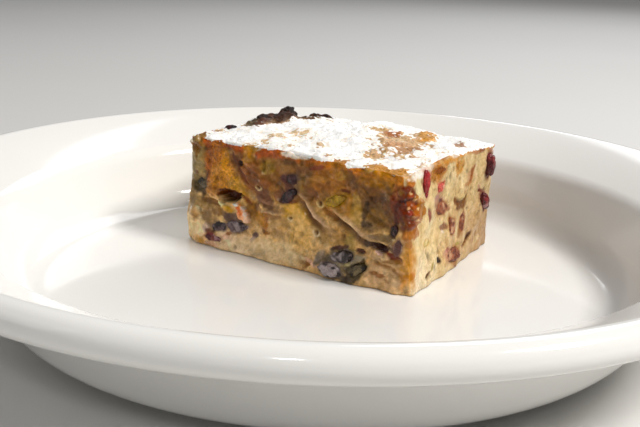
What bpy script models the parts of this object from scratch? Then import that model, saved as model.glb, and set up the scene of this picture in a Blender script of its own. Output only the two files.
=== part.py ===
"""Bread pudding: one cut slab with dried fruit in it, on a deep rimmed plate.

Sizes are in millimetres and become metres where a mesh or a place is made. The origin is at the
middle of the plate's foot, on the table. The slab's long cut side faces -Y and its short cut side
faces +X. Heights called "up" are measured from the plate's floor.
"""

import math

import bmesh
import bpy
from mathutils import Matrix, Vector

MM = 0.001
GAP = 0.3  # clearance between neighbouring solids

# Plate, a turned profile.
PLATE_RADIUS = 140.0
LIP_RADIUS = 4.3  # the rolled edge is a bead of this radius
FLOOR_TOP = 8.0  # the well's floor above the table
WALL = 4.5  # thickness of the porcelain
WELL_RADIUS = 101.0  # where floor and wall would meet without their curve
RIM_INNER_RADIUS = 110.6
RIM_INNER_UP = 23.7  # the rim's inner edge above the well's floor
LIP_UP = 35.7  # top of the lip above the well's floor
FOOT_RADIUS = 90.0
FOOT_WIDTH = 6.0
FOOT_HEIGHT = 3.5
LIP_START = 120.0  # the bead's arc starts at this angle, in degrees, and turns back under
LIP_SWEEP = 200.0
LIP_STEPS = 5
TURNING_STEPS = 52

# Slab: corners go round from the left end of the long front side, anticlockwise from above.
BASE_CORNERS = ((-64.3, 1.5), (34.3, -0.8), (30.2, 69.0), (-61.0, 68.0))
TOP_CORNERS = ((-64.4, 3.0), (28.4, 0.4), (31.7, 66.0), (-61.5, 67.0))
EDGE_UP = (39.3, 38.9, 39.5, 39.6)  # height of each top corner
EDGE_LIFT = (0.7, 1.4, 1.8, 1.0)  # how much higher each top edge is half way along
CORNER_ROUND = (4.0, 1.6, 2.0, 4.0)  # rounding of each upright edge
CORNER_CUT = 0.29  # share of that radius that rounding takes off along the diagonal
TOP_ROUND = 1.6
TOP_CUT = 0.72  # how far the rounded top edge is set back
RELIEF_FADE = 6.0  # relief fades out over this distance from an upright edge
FOOT_SWELL = (9.0, 12.0, 1.14)  # swelling of the left near upright edge: up, half height, amount
CROWN = 1.5  # the baked top's rise above its own edges
SIDE_CELLS = (24, 16)  # along the long sides, along the short sides
LEVELS = 8
FRONT, RIGHT, BACK, LEFT = range(4)
LEFT_NEAR_CORNER = 0

# Where the cut sides swell or sink: side, along, up, half width, half height, outward amount.
# "Along" is x on the front and back, and y on the other two sides.
SWELLS = (
    (FRONT, -58.0, 9.0, 9.0, 8.0, 1.6),
    (FRONT, -43.0, 12.5, 8.0, 4.0, 1.3),
    (FRONT, -38.0, 0.0, 26.0, 5.0, 2.6),
    (FRONT, 6.0, 0.0, 26.0, 5.0, 2.4),
    (FRONT, 4.0, 6.0, 9.0, 6.0, 1.3),
    (FRONT, -20.0, 19.0, 8.0, 6.0, -0.8),
    (FRONT, 20.0, 27.0, 9.0, 8.0, -0.9),
    (FRONT, 25.0, 31.0, 5.0, 8.0, 0.9),
    (RIGHT, 4.5, 31.0, 4.5, 9.0, 1.1),
    (RIGHT, 40.0, 24.0, 14.0, 10.0, -0.5),
    (RIGHT, 30.0, 3.0, 12.0, 6.0, 1.0),
    (RIGHT, 62.0, 30.0, 6.0, 7.0, 1.2),
    (BACK, -30.0, 12.0, 14.0, 8.0, 1.6),
    (BACK, 6.0, 26.0, 12.0, 8.0, 1.1),
    (LEFT, 22.0, 10.0, 14.0, 8.0, 1.8),
    (LEFT, 50.0, 26.0, 10.0, 9.0, -0.9),
)

# Folds of soaked bread on the long side: a ridge runs from start to end, over a crease below it.
FOLDS = (
    ((-12.0, 24.0), (-1.5, 15.5)),
    ((1.0, 22.5), (14.0, 15.0)),
    ((14.0, 15.0), (27.0, 12.5)),
)
FOLD_RISE = 1.2
FOLD_WIDTH = 3.0

# Rises of the baked top, where crusts of bread stand up: x, y, half width, amount.
TOP_RISES = (
    (-58.0, 9.0, 7.0, 1.3),
    (-46.0, 20.0, 9.0, 0.6),
    (-36.0, 40.0, 10.0, 0.5),
    (-14.0, 54.0, 11.0, 0.7),
    (2.0, 30.0, 9.0, 0.8),
    (8.0, 50.0, 7.0, 1.0),
    (21.0, 20.0, 7.0, 1.0),
    (24.5, 60.0, 6.5, 2.8),
    (-20.0, 22.0, 8.0, -0.8),
    (14.0, 37.0, 6.0, -0.9),
    (-55.0, 44.0, 9.0, 0.9),
)

# The open hole in the long side: along, up, half length, half height, depth.
HOLE = (-41.4, 20.4, 5.2, 1.9, 6.0)

# Fruit in the cut sides: name, side, along, up, half length, half width, half depth, tilt, sink.
# Sink is how far its middle lies inside the slab's surface.
SIDE_FRUIT = (
    ("raisin_low_left", FRONT, -48.4, 7.5, 3.7, 2.1, 2.0, 20, 0.8),
    ("raisin_low_wide", FRONT, -39.0, 9.5, 5.8, 2.4, 2.4, 16, 0.8),
    ("cranberry_base_left", FRONT, -50.0, 2.9, 3.9, 1.8, 2.0, -8, 0.7),
    ("raisin_left_edge", FRONT, -57.4, 21.6, 3.7, 2.4, 2.2, 10, 0.9),
    ("raisin_upper_mid", FRONT, -12.8, 31.2, 3.8, 2.0, 2.2, 6, 0.9),
    ("raisin_mid", FRONT, -14.8, 25.0, 3.9, 2.1, 2.2, 38, 0.9),
    ("sultana_mid", FRONT, 5.0, 26.4, 4.2, 2.0, 2.3, 24, 0.8),
    ("prune_base", FRONT, 4.2, 2.9, 4.5, 2.7, 2.8, -4, 0.7),
    ("raisin_base_mid", FRONT, 8.2, 7.7, 4.2, 2.2, 2.3, 8, 0.7),
    ("raisin_base_right", FRONT, 13.0, 4.3, 5.0, 2.0, 2.4, 28, 0.7),
    ("raisin_small_dark", FRONT, 28.7, 20.4, 2.2, 1.5, 1.6, 68, 0.5),
    ("raisin_near_edge", FRONT, 30.2, 15.3, 3.2, 1.6, 1.8, 76, 0.6),
    ("cranberry_top_near", RIGHT, 13.8, 33.6, 4.6, 2.6, 2.3, 80, 0.6),
    ("cranberry_bit", RIGHT, 24.8, 31.2, 2.5, 1.6, 1.6, 8, 0.5),
    ("raisin_short_mid", RIGHT, 25.0, 23.8, 5.0, 2.3, 2.4, -6, 0.8),
    ("cranberry_top_far", RIGHT, 62.4, 32.6, 4.4, 2.6, 2.6, 100, 0.3),
    ("cranberry_far", RIGHT, 62.4, 18.6, 4.2, 2.5, 2.6, 128, 0.3),
    ("raisin_short_thin", RIGHT, 43.2, 14.2, 4.0, 1.9, 1.9, 68, 0.6),
    ("raisin_short_brown", RIGHT, 33.2, 15.6, 3.2, 2.3, 1.9, 96, 0.6),
    ("cranberry_base_short", RIGHT, 33.6, 4.8, 5.2, 2.6, 2.5, -10, 0.6),
    ("raisin_short_small", RIGHT, 20.8, 6.3, 2.1, 1.2, 1.6, -26, 0.5),
    ("raisin_back_low", BACK, 12.0, 9.0, 5.0, 3.0, 2.4, 12, 0.6),
    ("cranberry_back_mid", BACK, -8.0, 22.0, 4.4, 2.6, 2.4, 70, 0.6),
    ("sultana_back", BACK, -27.0, 13.0, 4.8, 2.7, 2.3, -25, 0.7),
    ("raisin_back_high", BACK, -45.0, 27.0, 4.6, 2.8, 2.4, 40, 0.6),
    ("cranberry_back_end", BACK, 21.0, 28.0, 3.8, 2.5, 2.3, -60, 0.6),
    ("raisin_end_low", LEFT, 20.0, 8.0, 4.8, 2.9, 2.4, -8, 0.6),
    ("cranberry_end", LEFT, 35.0, 24.0, 4.3, 2.7, 2.4, 55, 0.6),
    ("raisin_end_high", LEFT, 55.0, 17.0, 4.4, 2.8, 2.4, 100, 0.6),
    ("sultana_end", LEFT, 14.0, 28.0, 4.5, 2.5, 2.3, 20, 0.7),
)

# Fruit on the baked top: name, x, y, half length, half width, half depth, tilt, sink.
TOP_FRUIT = (
    ("burnt_fruit_back", -55.4, 52.6, 6.6, 4.8, 3.1, 106, -0.7),
    ("burnt_fruit_edge", -43.6, 59.5, 6.0, 3.0, 2.3, 4, -0.2),
    ("burnt_fruit_end", -56.6, 40.2, 5.2, 2.8, 2.3, 74, 0.2),
    ("raisin_top_small", -58.0, 20.5, 2.4, 1.7, 1.6, 20, 0.2),
)

FRUIT_RINGS = 5
FRUIT_SEGMENTS = 7
FRUIT_LUMPS = 0.07  # unevenness of a fruit, as a share of its radius

# Base colour, roughness and metallic value of each kind of material.
FINISHES = {
    "plate": ((0.90, 0.90, 0.88), 0.12, 0.0),
    "pudding": ((0.62, 0.42, 0.19), 0.55, 0.0),
    "raisin": ((0.045, 0.025, 0.035), 0.35, 0.0),
    "prune": ((0.05, 0.035, 0.045), 0.3, 0.0),
    "burnt": ((0.03, 0.015, 0.01), 0.6, 0.0),
    "cranberry": ((0.22, 0.015, 0.02), 0.35, 0.0),
    "sultana": ((0.55, 0.36, 0.04), 0.4, 0.0),
}


def clear_scene():
    """Remove the objects that a new file starts with."""
    for obj in list(bpy.data.objects):
        bpy.data.objects.remove(obj, do_unlink=True)


def finish(kind):
    """The material of this kind, made once."""
    made = bpy.data.materials.get(kind)
    if made:
        return made
    colour, roughness, metallic = FINISHES[kind]
    made = bpy.data.materials.new(kind)
    made.use_nodes = True
    shader = made.node_tree.nodes["Principled BSDF"]
    shader.inputs["Base Color"].default_value = (*colour, 1.0)
    shader.inputs["Roughness"].default_value = roughness
    shader.inputs["Metallic"].default_value = metallic
    return made


def add_object(name, shape, kind, collection=None):
    """Turn a bmesh into a smooth-shaded object with its material."""
    mesh = bpy.data.meshes.new(name)
    shape.to_mesh(mesh)
    shape.free()
    mesh.shade_smooth()
    mesh.materials.append(finish(kind))
    obj = bpy.data.objects.new(name, mesh)
    (collection or bpy.context.scene.collection).objects.link(obj)
    return obj


def mix(a, b, t):
    return a + (b - a) * t


def bump(distance):
    """A smooth bell: 1 at distance 0, falling to 0 at distance 1 and beyond."""
    return (1 - distance * distance) ** 2 if distance < 1 else 0.0


# ---------------------------------------------------------------- plate


def rounded(corners):
    """Points of an outline whose corners (r, z, fillet radius, steps) are turned into arcs."""
    points = []
    for index, (r, z, radius, steps) in enumerate(corners):
        here = Vector((r, z))
        if radius == 0:
            points.append(here)
            continue
        before = (Vector(corners[index - 1][:2]) - here).normalized()
        after = (Vector(corners[index + 1][:2]) - here).normalized()
        half = before.angle(after) / 2
        middle = here + (before + after).normalized() * radius / math.sin(half)
        start = here + before * radius / math.tan(half) - middle
        end = here + after * radius / math.tan(half) - middle
        for step in range(steps + 1):
            points.append(middle + start.slerp(end, step / steps) * radius)
    return points


def plate_profile():
    """The turned outline, from the middle of the floor out over the lip and back under the foot."""
    rim_slope = (LIP_UP - RIM_INNER_UP) / (PLATE_RADIUS - LIP_RADIUS - RIM_INNER_RADIUS)
    bead_middle = Vector((PLATE_RADIUS - LIP_RADIUS, FLOOR_TOP + LIP_UP - LIP_RADIUS))
    under_rim_r = RIM_INNER_RADIUS + WALL
    under_rim_z = FLOOR_TOP + RIM_INNER_UP - WALL
    well = [
        (0.0, FLOOR_TOP, 0, 0),
        (WELL_RADIUS, FLOOR_TOP, 14.0, 4),
        (RIM_INNER_RADIUS, FLOOR_TOP + RIM_INNER_UP, 9.0, 2),
        (bead_middle.x, FLOOR_TOP + LIP_UP + rim_slope, 0, 0),
    ]
    top = rounded(well)[:-1]
    bead = [
        bead_middle + Vector((math.cos(a), math.sin(a))) * LIP_RADIUS
        for a in (math.radians(LIP_START - LIP_SWEEP * i / LIP_STEPS) for i in range(LIP_STEPS + 1))
    ]
    under = [
        (bead[-1].x, bead[-1].y, 0, 0),
        (under_rim_r, under_rim_z, 5.0, 2),
        (WELL_RADIUS + WALL * 0.6, FOOT_HEIGHT, 14.0, 2),
        (FOOT_RADIUS + 1.0, FOOT_HEIGHT, 0, 0),
        (FOOT_RADIUS, 0.0, 0, 0),
        (FOOT_RADIUS - FOOT_WIDTH, 0.0, 0, 0),
        (FOOT_RADIUS - FOOT_WIDTH - 1.0, FOOT_HEIGHT, 0, 0),
        (0.0, FOOT_HEIGHT, 0, 0),
    ]
    return top + bead + rounded(under)[1:]


def make_plate():
    shape = bmesh.new()
    verts = [shape.verts.new((p.x * MM, 0.0, p.y * MM)) for p in plate_profile()]
    for a, b in zip(verts, verts[1:]):
        shape.edges.new((a, b))
    plate = add_object("plate", shape, "plate")
    turning = plate.modifiers.new("turning", "SCREW")
    turning.steps = turning.render_steps = TURNING_STEPS
    turning.use_merge_vertices = True
    turning.merge_threshold = 0.00001
    return plate


# ---------------------------------------------------------------- slab


def outward(side):
    """Unit normal of a side, level, pointing out of the slab."""
    start, end = Vector(BASE_CORNERS[side]), Vector(BASE_CORNERS[(side + 1) % 4])
    along = (end - start).normalized()
    return Vector((along.y, -along.x, 0.0))


def side_length(side):
    return (Vector(BASE_CORNERS[(side + 1) % 4]) - Vector(BASE_CORNERS[side])).length


def fold_relief(along, up):
    """Ridge on a fold's line and a crease just under it, both fading at the fold's ends."""
    relief = 0.0
    for start, end in FOLDS:
        run = Vector(end) - Vector(start)
        to_point = Vector((along, up)) - Vector(start)
        share = min(max(to_point.dot(run) / run.length_squared, 0.0), 1.0)
        beside = (to_point - run * share).length / FOLD_WIDTH
        above = (run.x * to_point.y - run.y * to_point.x) / run.length / FOLD_WIDTH
        relief += FOLD_RISE * bump(beside / 1.6) * (1.0 if above > -0.4 else -1.0)
    return relief


def side_relief(side, along, up):
    """How far the cut side stands out from its flat plane: swells, folds and a slow unevenness."""
    relief = 0.35 * math.sin(0.23 * along + side) * math.cos(0.31 * up + 1.7 * side)
    relief += 0.25 * math.sin(0.53 * along - 0.38 * up + 2.0 * side)
    for where, middle, height, half_width, half_height, amount in SWELLS:
        if where == side:
            distance = math.hypot((along - middle) / half_width, (up - height) / half_height)
            relief += amount * bump(distance / 1.5)
    if side == FRONT:
        relief += fold_relief(along, up)
    return relief


def edge_up(side, t):
    """Height of the slab's top edge along a side."""
    lift = EDGE_LIFT[side] * math.sin(math.pi * t) + 0.4 * math.sin(5 * math.pi * t + side)
    return mix(EDGE_UP[side], EDGE_UP[(side + 1) % 4], t) + lift * bump(abs(2 * t - 1))


def side_point(side, t, level):
    """A point of a cut side, t along it and level (0 to 1) up it, in millimetres."""
    after = (side + 1) % 4
    base = Vector(BASE_CORNERS[side]).lerp(Vector(BASE_CORNERS[after]), t)
    top = Vector(TOP_CORNERS[side]).lerp(Vector(TOP_CORNERS[after]), t)
    up = edge_up(side, t) * level
    flat = base.lerp(top, level)
    length = side_length(side)
    corner = side if t < 0.5 else after
    neighbour = (side - 1) % 4 if t < 0.5 else after
    from_corner = min(t, 1 - t) * length
    normal = outward(side)
    along = flat.x if side in (FRONT, BACK) else flat.y
    free = 1 - bump(from_corner / RELIEF_FADE)
    round_share = max(0.0, 1 - from_corner / CORNER_ROUND[corner]) ** 2
    shift = normal * (side_relief(side, along, up) * free)
    diagonal = normal + outward(neighbour)
    shift -= diagonal * (CORNER_CUT * CORNER_ROUND[corner] * round_share)
    if corner == LEFT_NEAR_CORNER:
        middle, half_height, amount = FOOT_SWELL
        shift += diagonal * (amount * bump(abs(up - middle) / half_height) * (1 - free))
    top_share = max(0.0, 1 - (edge_up(side, t) - up) / TOP_ROUND) ** 2
    shift -= normal * (TOP_CUT * top_share * free)
    return Vector((flat.x, flat.y, up)) + shift


def spread(count):
    """Shares from 0 to 1, closer together near both ends."""
    return [
        mix(i / count, (1 - math.cos(math.pi * i / count)) / 2, 0.55) for i in range(count + 1)
    ]


def side_shares(side):
    return spread(SIDE_CELLS[side % 2])


def top_edge(side):
    return [side_point(side, t, 1.0) for t in side_shares(side)]


def top_rise(x, y, u, v):
    """Rise of the baked top above the surface stretched between its edges."""
    crown = CROWN * math.sin(math.pi * u) ** 0.6 * math.sin(math.pi * v) ** 0.6
    edge_free = min(1.0, 9 * min(u, v, 1 - u, 1 - v))
    lumps = 0.5 * math.sin(0.37 * x + 0.8) * math.cos(0.41 * y)
    lumps += 0.35 * math.sin(0.71 * x - 0.52 * y)
    for middle_x, middle_y, half_width, amount in TOP_RISES:
        lumps += amount * bump(math.hypot(x - middle_x, y - middle_y) / (1.5 * half_width))
    return crown + lumps * edge_free


def top_point(u, v, edges):
    """A point of the top: the surface stretched between its four edges, plus the rise."""
    front, right, back, left = (edge_at(edge, share) for edge, share in zip(edges, (u, v, 1 - u, 1 - v)))
    corners = [edge[0] for edge in edges]
    stretched = front * (1 - v) + back * v + left * (1 - u) + right * u
    stretched -= corners[0] * ((1 - u) * (1 - v)) + corners[1] * (u * (1 - v))
    stretched -= corners[2] * (u * v) + corners[3] * ((1 - u) * v)
    stretched.z += top_rise(stretched.x, stretched.y, u, v)
    return stretched


def edge_at(edge, share):
    """The point at this share of an edge whose points are spread as spread() gives."""
    shares = spread(len(edge) - 1)
    for index, (a, b) in enumerate(zip(shares, shares[1:])):
        if share <= b + 1e-9:
            return edge[index].lerp(edge[index + 1], (share - a) / (b - a))
    return edge[-1]


def make_slab():
    """The slab's closed skin: rings of the four sides, a flat base and the crowned top."""
    shape = bmesh.new()
    base_up = FLOOR_TOP + GAP

    def vert(point):
        return shape.verts.new(((point.x) * MM, point.y * MM, (base_up + point.z) * MM))

    levels = [mix(i / LEVELS, (i / LEVELS) ** 0.8, 0.5) for i in range(LEVELS + 1)]
    rings = []
    for level in levels:
        ring = []
        for side in range(4):
            ring += [vert(side_point(side, t, level)) for t in side_shares(side)[:-1]]
        rings.append(ring)
    for low, high in zip(rings, rings[1:]):
        for i in range(len(low)):
            j = (i + 1) % len(low)
            shape.faces.new((low[i], low[j], high[j], high[i]))
    shape.faces.new(rings[0][::-1])

    cells_x, cells_y = SIDE_CELLS
    rim = rings[-1]
    edges = [top_edge(side) for side in range(4)]
    grid = {}
    for i in range(cells_x + 1):
        grid[i, 0] = rim[i]
        grid[i, cells_y] = rim[(2 * cells_x + cells_y - i) % len(rim)]
    for j in range(1, cells_y):
        grid[cells_x, j] = rim[cells_x + j]
        grid[0, j] = rim[len(rim) - j]
    for i, u in enumerate(spread(cells_x)):
        for j, v in enumerate(spread(cells_y)):
            if (i, j) not in grid:
                grid[i, j] = vert(top_point(u, v, edges))
    for i in range(cells_x):
        for j in range(cells_y):
            shape.faces.new((grid[i, j], grid[i + 1, j], grid[i + 1, j + 1], grid[i, j + 1]))
    bmesh.ops.triangulate(shape, faces=shape.faces)
    return add_object("pudding", shape, "pudding")


# ---------------------------------------------------------------- fruit


def surface_on_side(side, along, up):
    """A point on a cut side and the directions along it, up it and out of it."""
    start, end = BASE_CORNERS[side], BASE_CORNERS[(side + 1) % 4]
    axis = 0 if side in (FRONT, BACK) else 1
    t = (along - start[axis]) / (end[axis] - start[axis])
    point = side_point(side, t, up / edge_up(side, t))
    normal = outward(side)
    level_axis = Vector((-normal.y, normal.x, 0.0))
    return point, level_axis, Vector((0.0, 0.0, 1.0)), normal


def surface_on_top(x, y):
    """A point on the baked top and the level directions and the upward one."""
    u = (x - BASE_CORNERS[0][0]) / (BASE_CORNERS[1][0] - BASE_CORNERS[0][0])
    v = (y - BASE_CORNERS[0][1]) / (BASE_CORNERS[3][1] - BASE_CORNERS[0][1])
    point = top_point(u, v, [top_edge(side) for side in range(4)])
    return point, Vector((1.0, 0.0, 0.0)), Vector((0.0, 1.0, 0.0)), Vector((0.0, 0.0, 1.0))


def fruit_mesh(halves, phase):
    """A lumpy ovoid with its length on X, its width on Y and its depth on Z."""
    shape = bmesh.new()
    bmesh.ops.create_uvsphere(
        shape, u_segments=FRUIT_SEGMENTS, v_segments=FRUIT_RINGS, radius=1.0
    )
    for vert in shape.verts:
        x, y, z = vert.co.z, vert.co.x, vert.co.y
        lump = 1 + FRUIT_LUMPS * math.sin(3.0 * x + 4.0 * y + phase)
        lump += FRUIT_LUMPS * math.cos(5.0 * y - 2.0 * z + 2.0 * phase)
        vert.co = Vector((x * halves[0], y * halves[1], z * halves[2])) * (lump * MM)
    bmesh.ops.triangulate(shape, faces=shape.faces)
    return shape


def place(obj, point, along, up, normal, tilt):
    """Set an object on a surface, its X turned by tilt from along towards up, its Z outward."""
    length = along * math.cos(tilt) + up * math.sin(tilt)
    width = normal.cross(length)
    turn = Matrix((length, width, normal)).transposed()
    obj.location = (point + Vector((0.0, 0.0, FLOOR_TOP + GAP))) * MM
    obj.rotation_euler = turn.to_euler()


def add_pocket(obj, pockets):
    """A cutter that leaves the usual gap round a fruit. It keeps out of the finished part."""
    pocket = bpy.data.objects.new(f"pocket_{obj.name}", obj.data)
    pocket.location, pocket.rotation_euler = obj.location, obj.rotation_euler
    pocket.hide_render = True
    pocket.display_type = "WIRE"
    pockets.objects.link(pocket)
    growth = pocket.modifiers.new("growth", "DISPLACE")
    growth.strength = 1.6 * GAP * MM
    growth.mid_level = 0.0


def make_fruit(pockets):
    """Every piece of fruit, with its pocket."""
    placed = []
    for name, side, along, up, *halves, tilt, sink in SIDE_FRUIT:
        point, level_axis, up_axis, normal = surface_on_side(side, along, up)
        placed.append((name, point - normal * sink, level_axis, up_axis, normal, halves, tilt))
    for name, x, y, *halves, tilt, sink in TOP_FRUIT:
        point, level_axis, up_axis, normal = surface_on_top(x, y)
        placed.append((name, point - normal * sink, level_axis, up_axis, normal, halves, tilt))
    for number, (name, point, level_axis, up_axis, normal, halves, tilt) in enumerate(placed):
        obj = add_object(name, fruit_mesh(halves, 1.3 * number), name.split("_")[0])
        place(obj, point, level_axis, up_axis, normal, math.radians(tilt))
        add_pocket(obj, pockets)


def make_hole(pockets):
    """The cutter of the open hole in the long side."""
    along, up, half_length, half_height, depth = HOLE
    point, level_axis, up_axis, normal = surface_on_side(FRONT, along, up)
    cutter = add_object("hole", fruit_mesh((half_length, half_height, depth), 0.0), "pudding", pockets)
    place(cutter, point, level_axis, up_axis, normal, math.radians(4))
    cutter.hide_render = True
    cutter.display_type = "WIRE"


def main():
    clear_scene()
    make_plate()
    slab = make_slab()
    pockets = bpy.data.collections.new("pockets")
    bpy.context.scene.collection.children.link(pockets)
    make_fruit(pockets)
    make_hole(pockets)
    cuts = slab.modifiers.new("pockets", "BOOLEAN")
    cuts.operation = "DIFFERENCE"
    cuts.operand_type = "COLLECTION"
    cuts.collection = pockets
    cuts.solver = "EXACT"


main()
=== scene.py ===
"""Bread pudding: one cut slab full of dried fruit, under icing sugar, on a deep rimmed plate.

Sizes are in millimetres in the part's own frame until a mesh is made. +Z is up, the slab's long cut
side faces -Y and its short cut side +X. Heights called "up" start at the slab's base.
"""

import logging
import math
from dataclasses import dataclass, field
from enum import IntEnum

import bpy
import numpy as np
from mathutils import Matrix, Vector


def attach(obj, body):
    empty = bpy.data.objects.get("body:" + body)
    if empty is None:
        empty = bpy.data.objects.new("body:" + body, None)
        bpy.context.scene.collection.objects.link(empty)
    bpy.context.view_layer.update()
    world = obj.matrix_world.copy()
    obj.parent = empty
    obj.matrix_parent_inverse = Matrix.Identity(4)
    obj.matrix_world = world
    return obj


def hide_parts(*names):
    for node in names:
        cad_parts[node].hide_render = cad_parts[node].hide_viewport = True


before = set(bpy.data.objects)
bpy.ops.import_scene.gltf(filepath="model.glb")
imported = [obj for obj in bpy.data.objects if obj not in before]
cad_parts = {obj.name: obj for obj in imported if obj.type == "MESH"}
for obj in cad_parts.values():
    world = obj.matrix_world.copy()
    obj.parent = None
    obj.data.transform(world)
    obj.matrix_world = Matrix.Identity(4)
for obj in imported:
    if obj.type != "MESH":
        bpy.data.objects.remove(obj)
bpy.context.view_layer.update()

MM = 0.001
BODY = "root"
BASE_UP = 8.3  # the slab's base above the table
Array = np.ndarray
log = logging.getLogger("bread_pudding")


class Side(IntEnum):
    """The slab's cut sides, anticlockwise from above, and its baked top."""

    FRONT = 0
    RIGHT = 1
    BACK = 2
    LEFT = 3
    TOP = 4


# ------------------------------------------------------------------ numbers


def bell(distance: Array) -> Array:
    """A smooth bell: (1 - d squared) squared for d within 1, and nothing beyond."""
    return np.square(np.maximum(1.0 - np.square(distance), 0.0))


def ramp(values: Array, low: float, high: float) -> Array:
    """A smooth step: 0 at low, 1 at high, and 3 t squared - 2 t cubed between."""
    share = np.clip((values - low) / (high - low), 0.0, 1.0)
    return share * share * (3.0 - 2.0 * share)


def mix(a: Array, b: Array, share: Array) -> Array:
    """The value that share of the way from a to b."""
    return a + (b - a) * share


def lattice(cells: Array, seed: int) -> Array:
    """A repeatable value from 0 to 1 for each cell of a lattice.

    The three whole coordinates are multiplied by primes, added and folded by exclusive or.

    Args:
        cells: whole numbers, (..., 3).
        seed: picks one of many lattices.

    Returns:
        One value for each cell.
    """
    x, y, z = (cells[..., axis].astype(np.int64) for axis in range(3))
    mixed = (x * 374761393 + y * 668265263 + z * 1911520717 + seed * 1274126177) & 0xFFFFFFFF
    mixed = ((mixed ^ (mixed >> 13)) * 1103515245) & 0xFFFFFFFF
    return ((mixed ^ (mixed >> 16)) & 0xFFFFFF) / 0xFFFFFF


def noise(points: Array, size: float, seed: int) -> Array:
    """Smooth noise from -1 to 1: lattice values at a cell's eight corners, blended by smooth steps.

    Args:
        points: places in millimetres, (..., 3).
        size: the cell's width in millimetres.
        seed: picks the lattice.

    Returns:
        One value for each point.
    """
    scaled = points / size
    floor = np.floor(scaled)
    share = ramp(scaled - floor, 0.0, 1.0)
    total = np.zeros(points.shape[:-1])
    for corner in np.ndindex(2, 2, 2):
        weight = np.prod(np.where(np.array(corner) == 1, share, 1.0 - share), axis=-1)
        total += weight * lattice(floor + np.array(corner), seed)
    return 2.0 * total - 1.0


def fractal(points: Array, size: float, seed: int, octaves: int = 3) -> Array:
    """Noise added to itself at half the size and half the height, octaves times."""
    return sum(noise(points, size / 2**i, seed + 17 * i) / 2**i for i in range(octaves))


def marbled(points: Array, size: float, seed: int, octaves: int = 3) -> Array:
    """Noise read at places that slower noise has pushed about, which smears its blobs."""
    push = np.stack([noise(points, 2.2 * size, seed + axis) for axis in (1, 2, 3)], axis=-1)
    return fractal(points + 0.8 * size * push, size, seed + 4, octaves)


def chunks(points: Array, size: tuple, seed: int) -> tuple:
    """Irregular lumps: each point belongs to the nearest of the seeds scattered one to a cell.

    Args:
        points: places in millimetres, (n, 3).
        size: a cell's width along x, y and z.
        seed: picks the scatter.

    Returns:
        Each point's lump number from 0 to 1, and how far it is from the lump's border, in cells.
    """
    scaled = points / np.array(size)
    floor = np.floor(scaled)
    first = np.full(len(points), 9.0)
    second = first.copy()
    number = np.zeros(len(points))
    for step in np.ndindex(3, 3, 3):
        cell = floor + np.array(step) - 1
        jitter = np.stack([lattice(cell, seed + axis) for axis in range(3)], axis=-1)
        away = np.linalg.norm(cell + jitter - scaled, axis=-1)
        second = np.minimum(second, np.maximum(first, away))
        number = np.where(away < first, lattice(cell, seed + 3), number)
        first = np.minimum(first, away)
    return number, second - first


def smooth_path(points: tuple, steps: int = 8) -> Array:
    """A curve through a path's points: on each stretch, the cubic whose slopes join the neighbours.

    Args:
        points: the path, (n, 2).
        steps: points on each stretch.

    Returns:
        The curve's points.
    """
    given = np.array(points, float)
    ends = np.vstack([2 * given[0] - given[1], given, 2 * given[-1] - given[-2]])
    t = np.linspace(0, 1, steps, endpoint=False)[:, None]
    parts = []
    for a, b, c, d in zip(ends, ends[1:], ends[2:], ends[3:]):
        bend = (2 * a - 5 * b + 4 * c - d) * t**2 + (3 * b - a - 3 * c + d) * t**3
        parts.append(0.5 * (2 * b + (c - a) * t + bend))
    return np.vstack([*parts, given[-1:]])


def beside_path(places: Array, path: Array) -> tuple:
    """Where places lie beside a path: the nearest stretch gives the distance and the share along.

    Args:
        places: (n, 2) in millimetres.
        path: (m, 2) in millimetres.

    Returns:
        The signed distance, positive to the left of the path's run, and the share along, 0 to 1.
    """
    best = np.full(len(places), 1e9)
    signed, share = best.copy(), np.zeros(len(places))
    for index, (start, end) in enumerate(zip(path, path[1:])):
        run = end - start
        to_place = places - start
        t = np.clip(to_place @ run / (run @ run), 0.0, 1.0)
        away = np.linalg.norm(to_place - t[:, None] * run, axis=1)
        left = run[0] * to_place[:, 1] - run[1] * to_place[:, 0] >= 0
        nearer = away < best
        best = np.where(nearer, away, best)
        signed = np.where(nearer, np.where(left, away, -away), signed)
        share = np.where(nearer, (index + t) / (len(path) - 1), share)
    return signed, share


# ------------------------------------------------------------------ meshes


def grid_quads(index: Array) -> Array:
    """Faces of a grid of vertex numbers: counterclockwise when the second axis is to the left."""
    low, high = index[:-1], index[1:]
    return np.stack([low[:, :-1], high[:, :-1], high[:, 1:], low[:, 1:]], axis=-1).reshape(-1, 4)


def vertex_normals(points: Array, quads: Array) -> Array:
    """Unit normals: each face's diagonals' cross product is added to its corners and normalised."""
    cross = np.cross(points[quads[:, 2]] - points[quads[:, 0]], points[quads[:, 3]] - points[quads[:, 1]])
    total = np.zeros_like(points)
    for corner in range(4):
        for axis in range(3):
            total[:, axis] += np.bincount(quads[:, corner], cross[:, axis], len(points))
    return total / np.maximum(np.linalg.norm(total, axis=1, keepdims=True), 1e-9)


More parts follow.
